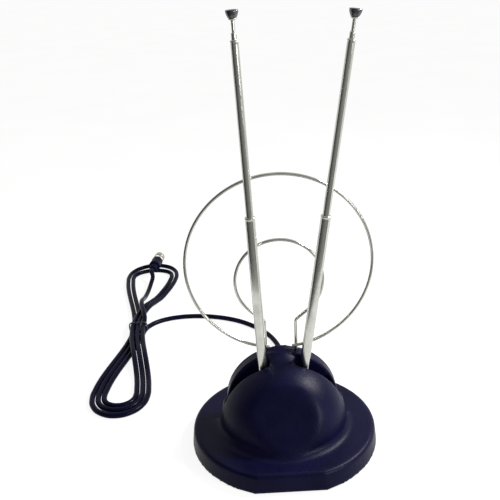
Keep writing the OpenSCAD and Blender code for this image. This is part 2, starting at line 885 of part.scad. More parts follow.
module inner_lead() {
    color([0.05, 0.05, 0.05]) swept_tube(smooth_route(inner_route, 2), cord_r - 0.1, 10);
}

module cable_clamp() {
    color([0.75, 0.75, 0.77]) translate([0, clamp_y, 0]) difference() {
        union() {
            translate([0, 0, clamp_z]) rod_y(cord_r + 1.1, -3, 3);
            translate([-9.5, -3, plate_top]) cube([19, 6, 1]);
        }
        translate([0, 0, clamp_z]) rod_y(cord_r + 0.05, -5, 5);
        translate([-cord_r - 0.05, -5, plate_top - 1]) cube([2 * cord_r + 0.1, 10, cord_r + 1]);
        translate([-20, -5, plate_top - 10]) cube([40, 10, 10]);
        for (side = [-1, 1]) translate([side * 7, 0, 0]) cylinder(r = 1.1, h = 20);
    }
}

module clamp_screws() {
    color([0.7, 0.7, 0.72]) for (side = [-1, 1]) translate([side * 7, clamp_y, 0]) {
        translate([0, 0, plate_top + 1]) cylinder(r = 1.9, h = 1.2);
        translate([0, 0, plate_z + 0.8]) cylinder(r = 1, h = plate_t + 1);
    }
}

module cord_lead() {
    color([0.04, 0.04, 0.04]) swept_tube(smooth_route(lead_route, 3), cord_r, 10);
}

module cord_tail() {
    color([0.04, 0.04, 0.04]) swept_tube(smooth_route(tail_route, 2), cord_r, 10);
}

// The band that the tie runs in
module tie_band(grow) {
    translate([hank_waist[0], hank_waist[1], (hank_mid_h + tie_t) / 2])
        cube([hank_mid_w + 2 * grow, tie_w, hank_mid_h + tie_t - 2 * tie_t + 2 * grow], center = true);
}

module cord_hank() {
    color([0.04, 0.04, 0.04]) difference() {
        union() {
            linear_extrude(height = hank_h) {
                taper_link(hank_near, hank_near_r, hank_waist, hank_waist_r);
                taper_link(hank_far, hank_far_r, hank_waist, hank_waist_r);
            }
            translate([hank_waist[0] - hank_mid_w / 2, hank_waist[1] - hank_mid_l / 2, 1])
                cube([hank_mid_w, hank_mid_l, hank_mid_h - 1]);
        }
        difference() {
            translate([hank_waist[0] - 30, hank_waist[1] - tie_w / 2 - 0.05, -1]) cube([60, tie_w + 0.1, 20]);
            tie_band_core();
        }
    }
}

// What the tie closes round
module tie_band_core() {
    translate([hank_waist[0] - hank_mid_w / 2, hank_waist[1] - tie_w, tie_t])
        cube([hank_mid_w, 2 * tie_w, hank_mid_h - tie_t]);
}

module cord_tie() {
    color([0.03, 0.03, 0.03]) difference() {
        translate([hank_waist[0] - hank_mid_w / 2 - tie_t, hank_waist[1] - tie_w / 2, 0])
            cube([hank_mid_w + 2 * tie_t, tie_w, hank_mid_h + tie_t]);
        tie_band_core();
    }
}

// ---------- plug ----------

// The frame of the plug: origin at the boot's rear, +Y towards the open end
module plug_frame() {
    translate(plug_at) rotate([0, 0, plug_turn]) children();
}

module plug_boot() {
    y1 = boot_step_l;
    color([0.05, 0.05, 0.06]) plug_frame() {
        rod_y(boot_step_r, 0, y1);
        translate([0, y1, 0]) rotate([-90, 0, 0]) cylinder(r1 = boot_r, r2 = boot_r - 0.4, h = boot_l);
    }
}

module plug_collar() {
    y0 = boot_step_l + boot_l;
    color([0.8, 0.78, 0.72]) plug_frame() difference() {
        union() {
            rod_y(5.2, y0, y0 + 1.4);
            rod_y(3.4, y0 + 1, y0 + collar_l + 2);
        }
        rod_y(2.2, y0 - 1, y0 + 20);
    }
}

module plug_nut() {
    y0 = boot_step_l + boot_l + 1.6;
    y1 = y0 + plug_nut_l;
    color([0.8, 0.78, 0.72]) plug_frame() difference() {
        union() {
            rod_y(plug_nut_r, y0, y0 + 4.6);
            rod_y(plug_nut_r - 0.9, y0 + 4, y0 + 6);
            rod_y(plug_nut_r, y0 + 5.6, y1);
        }
        rod_y(3.46, y0 - 1, y1 + 1);
        rod_y(plug_thread_r, y0 + 3, y1 + 1);
    }
}

module plug_insulator() {
    y0 = boot_step_l + boot_l;
    color([0.92, 0.92, 0.9]) plug_frame() difference() {
        rod_y(2.18, y0, y0 + collar_l + 1.8);
        rod_y(pin_root_r, y0 - 1, y0 + 20);
    }
}

module plug_pin() {
    y0 = boot_step_l + boot_l;
    y1 = y0 + collar_l + 1.8;
    color([0.8, 0.5, 0.3]) plug_frame() {
        rod_y(pin_root_r, y0, y1 + 1);
        rod_y(pin_r, y1, y0 + plug_nut_l + 4);
    }
}

housing_cover();
rear_cover();
rear_cover_screws();
bottom_plate();
base_screws();
rubber_feet();
ballast_weights();
ballast_screws();
terminal_board();
board_screws();
arm_bracket(-1);  // left_arm_bracket
arm_bracket(1);  // right_arm_bracket
bracket_rivets();
pivot_screws();
pivot_nuts();
spring_washers();
arm_frame(-1) knuckle();  // left_knuckle
arm_frame(-1) outer_tube();  // left_outer_tube
arm_frame(-1) second_tube();  // left_second_tube
arm_frame(-1) second_sleeve();  // left_second_sleeve
arm_frame(-1) third_tube();  // left_third_tube
arm_frame(-1) third_sleeve();  // left_third_sleeve
arm_frame(-1) tip_rod();  // left_tip_rod
arm_frame(-1) rod_sleeve();  // left_rod_sleeve
arm_frame(-1) tip_cap();  // left_tip_cap
arm_frame(1) knuckle();  // right_knuckle
arm_frame(1) outer_tube();  // right_outer_tube
arm_frame(1) second_tube();  // right_second_tube
arm_frame(1) second_sleeve();  // right_second_sleeve
arm_frame(1) third_tube();  // right_third_tube
arm_frame(1) third_sleeve();  // right_third_sleeve
arm_frame(1) tip_rod();  // right_tip_rod
arm_frame(1) rod_sleeve();  // right_rod_sleeve
arm_frame(1) tip_cap();  // right_tip_cap
small_ring();
large_ring();
loop_sockets();
loop_set_screws();
ferrite_core();
balun_windings();
board_capacitors();
jumper_wires();
cord_gland();
inner_lead();
cable_clamp();
clamp_screws();
cord_lead();
cord_hank();
cord_tail();
cord_tie();
plug_boot();
plug_collar();
plug_nut();
plug_insulator();
plug_pin();
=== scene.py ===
"""Rabbit ears with a double wire loop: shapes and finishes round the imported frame.

The case, arms, loops, lead and plug are built piece by piece in the frame's own
place, in metres. Then a pale floor, soft studio light and the camera are added.
"""

import logging
import math
from dataclasses import dataclass
from enum import Enum
from typing import Iterable, Optional, Sequence, Union

import bpy
from mathutils import Matrix, Vector


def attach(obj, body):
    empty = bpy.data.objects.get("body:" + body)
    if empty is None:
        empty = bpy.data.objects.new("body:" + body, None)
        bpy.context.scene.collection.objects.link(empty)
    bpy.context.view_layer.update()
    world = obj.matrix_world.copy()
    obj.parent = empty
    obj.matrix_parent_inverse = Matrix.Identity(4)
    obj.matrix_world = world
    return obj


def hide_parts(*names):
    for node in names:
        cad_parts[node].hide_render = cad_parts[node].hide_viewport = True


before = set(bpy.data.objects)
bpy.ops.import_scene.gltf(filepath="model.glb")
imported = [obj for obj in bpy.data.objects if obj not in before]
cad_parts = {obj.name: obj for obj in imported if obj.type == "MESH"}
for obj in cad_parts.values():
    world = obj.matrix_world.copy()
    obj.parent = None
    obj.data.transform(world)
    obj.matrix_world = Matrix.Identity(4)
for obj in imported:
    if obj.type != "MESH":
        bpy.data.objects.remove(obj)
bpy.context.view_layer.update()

MM = 0.001
FULL_TURN = 2 * math.pi
WELD_M = 2e-6
Point = tuple[float, float, float]
Flat = tuple[float, float]

logging.basicConfig(level=logging.INFO, format="%(message)s")
log = logging.getLogger("rabbit_ears")


class Side(Enum):
    """The two arms, named as the viewer in front sees them."""

    LEFT = -1
    RIGHT = 1

    @property
    def word(self) -> str:
        """The side's name in lower case."""
        return self.name.lower()


class Join(Enum):
    """What a boolean modifier does with its cutter."""

    ADD = "UNION"
    CUT = "DIFFERENCE"
    KEEP = "INTERSECT"


# ---------------------------------------------------------------- modelling


def calm() -> None:
    """Leaves edit mode and selects nothing."""
    active = bpy.context.object
    if active is not None and active.mode != "OBJECT":
        bpy.ops.object.mode_set(mode="OBJECT")
    bpy.ops.object.select_all(action="DESELECT")


def pick(piece: bpy.types.Object) -> bpy.types.Object:
    """Makes a piece the only selected and active one.

    Args:
        piece: The object to work on.

    Returns:
        The same object.
    """
    calm()
    piece.hide_set(False)
    piece.select_set(True)
    bpy.context.view_layer.objects.active = piece
    return piece


def settle(piece: bpy.types.Object) -> bpy.types.Object:
    """Puts an object's place and turn into its mesh, so that it sits at the origin.

    Args:
        piece: The object.

    Returns:
        The same object.
    """
    pick(piece)
    bpy.ops.object.transform_apply(location=True, rotation=True, scale=True)
    return piece


def modify(piece: bpy.types.Object, kind: str, **settings: object) -> bpy.types.Object:
    """Adds one modifier to a piece and applies it.

    Args:
        piece: The mesh object.
        kind: Blender's name of the modifier's type.
        **settings: Its properties.

    Returns:
        The same object.
    """
    pick(piece)
    bpy.ops.object.modifier_add(type=kind)
    modifier = piece.modifiers[-1]
    for name, value in settings.items():
        setattr(modifier, name, value)
    bpy.ops.object.modifier_apply(modifier=modifier.name)
    return piece


def combine(piece: bpy.types.Object, other: bpy.types.Object, how: Join) -> bpy.types.Object:
    """Joins, cuts or trims a piece with another one, which is used up.

    Args:
        piece: The piece that stays.
        other: The cutter.
        how: What to do with it.

    Returns:
        The piece.
    """
    modify(piece, "BOOLEAN", object=other, operation=how.value, solver="EXACT")
    bpy.data.objects.remove(other)
    return piece


def smooth(piece: bpy.types.Object, degrees: float = 35.0) -> bpy.types.Object:
    """Shades a piece smooth, with creases where it turns sharply.

    Args:
        piece: The piece.
        degrees: Edges sharper than this stay creased.

    Returns:
        The piece.
    """
    pick(piece)
    bpy.ops.object.shade_smooth_by_angle(angle=math.radians(degrees))
    return piece


def round_edges(
    piece: bpy.types.Object, width_mm: float, segments: int = 3, degrees: float = 32.0
) -> bpy.types.Object:
    """Eases a piece's sharp edges and shades it smooth.

    Args:
        piece: The piece.
        width_mm: Width of the bevel.
        segments: Number of facets across it.
        degrees: Edges sharper than this are eased.

    Returns:
        The piece.
    """
    modify(
        piece, "BEVEL", width=width_mm * MM, segments=segments, limit_method="ANGLE",
        angle_limit=math.radians(degrees), use_clamp_overlap=True, miter_outer="MITER_ARC",
    )
    return smooth(piece)


def arc(centre: Flat, radius: float, start: float, end: float, steps: int = 4) -> list[Flat]:
    """Points on an arc, for a profile.

    Args:
        centre: Its centre in the profile's plane.
        radius: Its radius.
        start: First angle, in degrees.
        end: Last angle, in degrees.
        steps: Number of chords.

    Returns:
        The points, both ends included.
    """
    angles = [math.radians(start + (end - start) * i / steps) for i in range(steps + 1)]
    return [(centre[0] + radius * math.cos(a), centre[1] + radius * math.sin(a)) for a in angles]


def turned(
    name: str, profile: Sequence[Flat], steps: int = 48, closed: bool = False
) -> bpy.types.Object:
    """Turns a profile round the Z axis, as on a lathe.

    Args:
        name: Name of the piece.
        profile: Radius and height of each point, in millimetres.
        steps: Number of facets round it.
        closed: True where the profile is a ring that doesn't reach the axis.

    Returns:
        The closed mesh, still on the Z axis.
    """
    calm()
    bpy.ops.mesh.primitive_plane_add(size=MM)
    piece = bpy.context.object
    piece.name = piece.data.name = name
    bpy.ops.object.mode_set(mode="EDIT")
    bpy.ops.mesh.select_mode(type="VERT")
    bpy.ops.mesh.merge(type="CENTER")
    points = [Vector((r, 0.0, z)) * MM for r, z in profile]
    bpy.ops.transform.translate(value=points[0])
    rest = points[1:] + ([points[0]] if closed else [])
    for a, b in zip(points, rest):
        bpy.ops.mesh.extrude_region_move(TRANSFORM_OT_translate={"value": b - a})
    bpy.ops.mesh.select_all(action="SELECT")
    bpy.ops.mesh.remove_doubles(threshold=WELD_M)
    bpy.ops.mesh.spin(steps=steps, angle=FULL_TURN, center=(0, 0, 0), axis=(0, 0, 1))
    tidy_mesh()
    return smooth(piece)


def tidy_mesh() -> None:
    """Welds the mesh in edit mode, turns its faces outwards and leaves edit mode."""
    bpy.ops.mesh.select_all(action="SELECT")
    bpy.ops.mesh.remove_doubles(threshold=WELD_M)
    bpy.ops.mesh.normals_make_consistent(inside=False)
    bpy.ops.object.mode_set(mode="OBJECT")


def prism(name: str, sides: int, radius: float, low: float, high: float) -> bpy.types.Object:
    """A regular prism on the Z axis, to cut or to be cut.

    Args:
        name: Its name.
        sides: Number of its sides.
        radius: Radius of its corners, in millimetres.
        low: Height of its lower end, in millimetres.
        high: Height of its upper end, in millimetres.

    Returns:
        The prism.
    """
    calm()
    bpy.ops.mesh.primitive_cylinder_add(
        vertices=sides, radius=radius * MM, depth=(high - low) * MM,
        location=(0, 0, (low + high) / 2 * MM),
    )
    piece = bpy.context.object
    piece.name = piece.data.name = name
    return settle(piece)


def block(name: str, low: Sequence[float], high: Sequence[float]) -> bpy.types.Object:
    """A box between two corners, to cut or to be cut.

    Args:
        name: Its name.
        low: Its lowest corner, in millimetres.
        high: Its highest corner, in millimetres.

    Returns:
        The box.
    """
    calm()
    centre = [(a + b) / 2 * MM for a, b in zip(low, high)]
    bpy.ops.mesh.primitive_cube_add(size=1, location=centre)
    piece = bpy.context.object
    piece.name = piece.data.name = name
    piece.scale = [(b - a) * MM for a, b in zip(low, high)]
    return settle(piece)


def place(piece: bpy.types.Object, matrix: Matrix) -> bpy.types.Object:
    """Moves a piece by a matrix that is in metres, and settles it."""
    piece.matrix_world = matrix @ piece.matrix_world
    return settle(piece)


def unite(name: str, parts: Iterable[bpy.types.Object]) -> bpy.types.Object:
    """Makes several closed meshes one object.

    Args:
        name: Name of the piece.
        parts: The meshes.

    Returns:
        The one object.
    """
    parts = list(parts)
    pick(parts[0])
    for part in parts[1:]:
        part.select_set(True)
    if len(parts) > 1:
        bpy.ops.object.join()
    piece = bpy.context.object
    piece.name = piece.data.name = name
    return piece


def copied(piece: bpy.types.Object, name: str) -> bpy.types.Object:
    """A copy of a piece with its own mesh.

    Args:
        piece: The piece.
        name: Name of the copy.

    Returns:
        The copy.
    """
    twin = bpy.data.objects.new(name, piece.data.copy())
    twin.data.name = name
    bpy.context.scene.collection.objects.link(twin)
    return twin


def cad_copy(node: str, name: str) -> bpy.types.Object:
    """A welded copy of a CAD node's mesh, to be worked on.

    Args:
        node: The CAD node.
        name: Name of the new piece.

    Returns:
        The new object.
    """
    piece = copied(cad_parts[node], name)
    piece.data.materials.clear()
    pick(piece)
    bpy.ops.object.mode_set(mode="EDIT")
    bpy.ops.mesh.select_all(action="SELECT")
    bpy.ops.mesh.remove_doubles(threshold=WELD_M)
    bpy.ops.object.mode_set(mode="OBJECT")
    return piece


@dataclass
class Wire:
    """A round wire bent step by step from its start, in millimetres."""

    name: str
    radius: float
    start: Point
    heading: Point
    sides: int = 20

    def __post_init__(self) -> None:
        """Lays the wire's first end as a disc and opens it for bending."""
        calm()
        turn = Vector(self.heading).to_track_quat("Z", "Y").to_euler()
        bpy.ops.mesh.primitive_circle_add(
            vertices=self.sides, radius=self.radius * MM, fill_type="NGON",
            location=Vector(self.start) * MM, rotation=turn,
        )
        self.piece = settle(bpy.context.object)
        self.piece.name = self.piece.data.name = self.name
        bpy.ops.object.mode_set(mode="EDIT")
        bpy.ops.mesh.select_mode(type="FACE")
        bpy.ops.mesh.select_all(action="SELECT")

    def straight(self, step: Sequence[float]) -> "Wire":
        """Draws the wire out along a straight line of a given step."""
        bpy.ops.mesh.extrude_region_move(TRANSFORM_OT_translate={"value": Vector(step) * MM})
        return self

    def bend(
        self, centre: Sequence[float], axis: Sequence[float], degrees: float, steps: int
    ) -> "Wire":
        """Bends the wire round a centre.

        Args:
            centre: Centre of the bend, in millimetres.
            axis: Axis of the bend.
            degrees: Angle of the bend.
            steps: Number of facets along it.

        Returns:
            The wire.
        """
        bpy.ops.mesh.spin(
            steps=steps, angle=-math.radians(degrees), center=Vector(centre) * MM, axis=axis
        )
        return self

    def done(self, ease_mm: float = 0.25) -> bpy.types.Object:
        """Closes the wire and rounds its two ends.

        Args:
            ease_mm: Width of the rounding.

        Returns:
            The finished wire.
        """
        tidy_mesh()
        return round_edges(self.piece, ease_mm, segments=2, degrees=60)


# ---------------------------------------------------------------- finishes


@dataclass
class Desk:
    """Lays out the shader nodes of one material."""

    name: str

    def __post_init__(self) -> None:
        """Starts an empty node tree with a shader and an output."""
        self.material = bpy.data.materials.new(self.name)
        self.material.use_nodes = True
        self.tree = self.material.node_tree
        self.tree.nodes.clear()
        self.shader = self.add("ShaderNodeBsdfPrincipled")
        output = self.add("ShaderNodeOutputMaterial")
        self.join(self.shader.outputs["BSDF"], output.inputs["Surface"])
        self.where = self.add("ShaderNodeTexCoord").outputs["Object"]

    def add(self, kind: str, **settings: object) -> bpy.types.Node:
        """Adds a node.

        Args:
            kind: Blender's name of the node's type.
            **settings: Its properties.

        Returns:
            The node.
        """
        node = self.tree.nodes.new(kind)
        for name, value in settings.items():
            setattr(node, name, value)
        return node

    def join(self, source: bpy.types.NodeSocket, target: bpy.types.NodeSocket) -> None:
        """Links two sockets."""
        self.tree.links.new(source, target)

    def noise(
        self, size_mm: float, detail: float = 3.0, stretch: Point = (1.0, 1.0, 1.0),
        turn: Point = (0.0, 0.0, 0.0), rough: float = 0.5,
    ) -> bpy.types.NodeSocket:
        """Noise in the object's own space.

        Args:
            size_mm: Rough size of its features.
            detail: Octaves of finer noise.
            stretch: Scale along each axis before the noise.
            turn: Turn of the axes, in degrees.
            rough: Share of the finer octaves.

        Returns:
            The noise's value.
        """
        mapping = self.add("ShaderNodeMapping")
        mapping.inputs["Scale"].default_value = stretch
        mapping.inputs["Rotation"].default_value = [math.radians(a) for a in turn]
        self.join(self.where, mapping.inputs["Vector"])
        node = self.add("ShaderNodeTexNoise")
        node.inputs["Scale"].default_value = 1.0 / (size_mm * MM)
        node.inputs["Detail"].default_value = detail
        node.inputs["Roughness"].default_value = rough
        self.join(mapping.outputs["Vector"], node.inputs["Vector"])
        return node.outputs["Fac"]

    def spread(
        self, value: bpy.types.NodeSocket, low: float, high: float,
        from_low: float = 0.3, from_high: float = 0.7,
    ) -> bpy.types.NodeSocket:
        """Maps a value to a range.

        Args:
            value: The value.
            low: What the lowest value becomes.
            high: What the highest value becomes.
            from_low: Lowest value.
            from_high: Highest value.

        Returns:
            The mapped value.
        """
        node = self.add("ShaderNodeMapRange")
        node.inputs["From Min"].default_value = from_low
        node.inputs["From Max"].default_value = from_high
        node.inputs["To Min"].default_value = low
        node.inputs["To Max"].default_value = high
        self.join(value, node.inputs["Value"])
        return node.outputs["Result"]

    def scaled_sum(
        self, value: bpy.types.NodeSocket, factor: float, added: bpy.types.NodeSocket
    ) -> bpy.types.NodeSocket:
        """Adds a share of one value to another.

        Args:
            value: The value of which a share is taken.
            factor: The share.
            added: The value that it is added to.

        Returns:
            The sum.
        """
        node = self.add("ShaderNodeMath", operation="MULTIPLY_ADD")
        node.inputs[1].default_value = factor
        self.join(value, node.inputs[0])
        self.join(added, node.inputs[2])
        return node.outputs["Value"]

    def blend(
        self, value: bpy.types.NodeSocket, first: Point, second: Point
    ) -> bpy.types.NodeSocket:
        """Runs between two colours by a value.

        Args:
            value: The value, from 0 to 1.
            first: Colour at 0.
            second: Colour at 1.

        Returns:
            The colour.
        """
        node = self.add("ShaderNodeMix", data_type="RGBA")
        colour_in = [s for s in node.inputs if s.type == "RGBA"]
        colour_in[0].default_value = (*first, 1.0)
        colour_in[1].default_value = (*second, 1.0)
        self.join(value, node.inputs["Factor"])
        return next(s for s in node.outputs if s.type == "RGBA")

    def bumps(self, heights: Sequence[tuple[bpy.types.NodeSocket, float, float]]) -> None:
        """Stacks bump maps on the shader.

        Args:
            heights: Height, strength and distance in millimetres of each, the last on top.
        """
        before: Optional[bpy.types.NodeSocket] = None
        for height, strength, distance in heights:
            node = self.add("ShaderNodeBump")
            node.inputs["Strength"].default_value = strength
            node.inputs["Distance"].default_value = distance * MM
            self.join(height, node.inputs["Height"])
            if before is not None:
                self.join(before, node.inputs["Normal"])
            before = node.outputs["Normal"]
        if before is not None:
            self.join(before, self.shader.inputs["Normal"])


@dataclass(frozen=True)
class Moulded:
    """A moulded or dipped skin with a fine grain, a little uneven in tone and gloss."""

    name: str
    colour: Point
    tone: Point
    roughness: Flat
    grain_mm: float
    grain_depth_mm: float
    grain_strength: float = 0.5
    blotch_mm: float = 18.0
    specular: float = 0.5
    blotch_share: float = 0.65
    speck_share: float = 0.35
    scuff_in_grains: float = 9.0
    scuff_stretch: Point = (1.0, 0.35, 1.0)
    scuff_turn: Point = (0.0, 0.0, 24.0)
    sink_strength: float = 0.06
    sink_depth_mm: float = 0.2

    def make(self) -> bpy.types.Material:
        """Builds the material.

        Returns:
            The material.
        """
        desk = Desk(self.name)
        blotch = desk.noise(self.blotch_mm, detail=4.0)
        speck = desk.noise(self.grain_mm, detail=2.0)
        scuff = desk.noise(
            self.grain_mm * self.scuff_in_grains, detail=5.0,
            stretch=self.scuff_stretch, turn=self.scuff_turn,
        )
        broad = desk.spread(blotch, 0.0, self.blotch_share)
        mixed = desk.scaled_sum(speck, self.speck_share, broad)
        colour = desk.blend(mixed, self.colour, self.tone)
        desk.join(colour, desk.shader.inputs["Base Color"])
        desk.join(desk.spread(scuff, *self.roughness), desk.shader.inputs["Roughness"])
        desk.shader.inputs["Specular IOR Level"].default_value = self.specular
        desk.bumps([
            (blotch, self.sink_strength, self.sink_depth_mm),
            (speck, self.grain_strength, self.grain_depth_mm),
        ])
        return desk.material


@dataclass(frozen=True)
class Plated:
    """A bright metal skin with drawn lines along it and faint finger marks."""

    name: str
    colour: Point
    tone: Point
    roughness: Flat
    streak: Point = (1.0, 1.0, 0.02)
    streak_mm: float = 0.25
    streak_depth_mm: float = 0.004
    streak_strength: float = 0.25
    smudge_mm: float = 7.0
    pit_mm: float = 0.5
    pit_share: float = 0.04

    def make(self) -> bpy.types.Material:
        """Builds the material.

        Returns:
            The material.
        """
        desk = Desk(self.name)
        smudge = desk.noise(self.smudge_mm, detail=5.0, rough=0.6)
        lines = desk.noise(self.streak_mm, detail=2.0, stretch=self.streak)
        pits = desk.noise(self.pit_mm, detail=3.0)
        colour = desk.blend(desk.spread(smudge, 0.0, 1.0), self.colour, self.tone)
        desk.join(colour, desk.shader.inputs["Base Color"])
        dull = desk.scaled_sum(pits, self.pit_share, desk.spread(smudge, *self.roughness))
        desk.join(dull, desk.shader.inputs["Roughness"])
        desk.shader.inputs["Metallic"].default_value = 1.0
        desk.bumps([(lines, self.streak_strength, self.streak_depth_mm)])
        return desk.material


Finish = Union[Moulded, Plated]
EVEN: Point = (1.0, 1.0, 1.0)

CASE = Moulded(
    "case_satin_black", (0.0007, 0.0007, 0.0085), (0.0026, 0.0025, 0.0165), (0.32, 0.42),
    grain_mm=0.8, grain_depth_mm=0.16, grain_strength=1.0, specular=0.06,
)
PLATE = Moulded(
    "base_matt_black", (0.008, 0.008, 0.012), (0.016, 0.016, 0.021), (0.5, 0.66),
    grain_mm=0.8, grain_depth_mm=0.05, grain_strength=0.6, specular=0.3,
)
RUBBER = Moulded(
    "soft_black_rubber", (0.014, 0.014, 0.014), (0.026, 0.025, 0.024), (0.6, 0.8),
    grain_mm=0.5, grain_depth_mm=0.03, blotch_mm=6.0, specular=0.3,
)
JACKET = Moulded(
    "lead_black_vinyl", (0.001, 0.001, 0.007), (0.0025, 0.0025, 0.011), (0.2, 0.32),
    grain_mm=0.35, grain_depth_mm=0.008, grain_strength=0.25, blotch_mm=9.0, specular=0.04,
)
BOOT = Moulded(
    "boot_black_vinyl", (0.001, 0.001, 0.008), (0.003, 0.003, 0.014), (0.34, 0.5),
    grain_mm=0.4, grain_depth_mm=0.02, grain_strength=0.45, blotch_mm=7.0, specular=0.05,
)
TIE = Moulded(
    "tie_black", (0.006, 0.006, 0.008), (0.013, 0.013, 0.016), (0.35, 0.5),
    grain_mm=0.3, grain_depth_mm=0.01, grain_strength=0.4, blotch_mm=5.0,
)
BOARD = Moulded(
    "board_brown_paper", (0.2, 0.1, 0.035), (0.3, 0.165, 0.07), (0.42, 0.6),
    grain_mm=0.3, grain_depth_mm=0.01, grain_strength=0.4, blotch_mm=5.0,
)
FERRITE = Moulded(
    "core_grey_ferrite", (0.03, 0.03, 0.033), (0.06, 0.058, 0.06), (0.5, 0.7),
    grain_mm=0.4, grain_depth_mm=0.03, grain_strength=0.6, blotch_mm=3.0,
)
CERAMIC = Moulded(
    "disc_dipped_ceramic", (0.42, 0.17, 0.03), (0.55, 0.26, 0.06), (0.24, 0.36),
    grain_mm=0.6, grain_depth_mm=0.02, grain_strength=0.4, blotch_mm=2.0,
)
RED_SLEEVE = Moulded(
    "jumper_red_sleeve", (0.42, 0.02, 0.015), (0.55, 0.04, 0.03), (0.3, 0.42),
    grain_mm=0.3, grain_depth_mm=0.01, grain_strength=0.3, blotch_mm=3.0,
)
INSULATOR = Moulded(
    "insulator_white", (0.74, 0.73, 0.68), (0.83, 0.82, 0.78), (0.34, 0.5),
    grain_mm=0.3, grain_depth_mm=0.01, grain_strength=0.3, blotch_mm=2.0,
)
CHROME = Plated(
    "chrome_plate", (0.58, 0.585, 0.54), (0.48, 0.485, 0.445), (0.1, 0.2),
    streak_depth_mm=0.002,
)
LOOP_PLATE = Plated(
    "loop_bright_plate", (0.55, 0.555, 0.51), (0.42, 0.425, 0.39), (0.1, 0.22),
    EVEN, streak_mm=0.6, streak_depth_mm=0.006,
)
TIP_METAL = Plated("tip_smoked_chrome", (0.09, 0.09, 0.1), (0.16, 0.16, 0.17), (0.16, 0.3))
NICKEL = Plated(
    "plug_nickel", (0.5, 0.465, 0.38), (0.36, 0.33, 0.26), (0.16, 0.3),
    EVEN, streak_mm=0.5, streak_depth_mm=0.01,
)
ZINC = Plated(
    "screw_zinc", (0.6, 0.6, 0.58), (0.45, 0.45, 0.44), (0.26, 0.42),
    EVEN, streak_mm=0.4, streak_depth_mm=0.02,
)
PRESSED_STEEL = Plated(
    "bracket_steel", (0.5, 0.5, 0.5), (0.38, 0.38, 0.38), (0.26, 0.4),
    streak=(0.06, 1.0, 1.0), streak_mm=0.3, streak_depth_mm=0.02,
)
BAR_STEEL = Plated(
    "ballast_steel", (0.2, 0.2, 0.2), (0.12, 0.12, 0.125), (0.4, 0.6),
    streak=(1.0, 0.05, 1.0), streak_mm=0.6, streak_depth_mm=0.05,
)
BRASS = Plated(
    "plain_brass", (0.66, 0.47, 0.2), (0.5, 0.34, 0.13), (0.2, 0.36),
    EVEN, streak_mm=0.4, streak_depth_mm=0.02,
)
COPPER = Plated(
    "winding_copper", (0.7, 0.32, 0.16), (0.5, 0.2, 0.09), (0.2, 0.34),
    EVEN, streak_mm=0.4, streak_depth_mm=0.01,
)


class Finishes:
    """Makes each finish once and gives it to pieces and CAD nodes."""

    def __init__(self) -> None:
        """Starts with no material made."""
        self.made: dict[str, bpy.types.Material] = {}

    def get(self, finish: Finish) -> bpy.types.Material:
        """The material of a finish, made on first use.

        Args:
            finish: The finish.

        Returns:
            Its material.
        """
        if finish.name not in self.made:
            self.made[finish.name] = finish.make()
        return self.made[finish.name]

    def dress(self, piece: bpy.types.Object, finish: Finish) -> None:
        """Gives a whole piece one finish."""
        piece.data.materials.clear()
        piece.data.materials.append(self.get(finish))

    def dress_nodes(self, names: Iterable[str], finish: Finish) -> None:
        """Puts a finish in the material slots of CAD nodes.

        Args:
            names: The nodes.
            finish: Their finish.
        """
        for name in names:
            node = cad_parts[name]
            if not node.material_slots:
                node.data.materials.append(None)
            for slot in node.material_slots:
                slot.material = self.get(finish)


FINISHES = Finishes()


def deliver(
    piece: bpy.types.Object, body: str, finish: Finish, nodes: Sequence[str]
) -> bpy.types.Object:
    """Dresses a finished piece and ties it to the frame.

    Args:
        piece: The piece, in its place.
        body: The CAD body that it moves with.
        finish: Its finish.
        nodes: The CAD nodes that it stands for.

    Returns:
        The piece.
    """
    calm()
    FINISHES.dress(piece, finish)
    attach(piece, body)
    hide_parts(*nodes)
    log.info("%s rides on %s", piece.name, body)
    return piece


# ---------------------------------------------------------------- camera and light


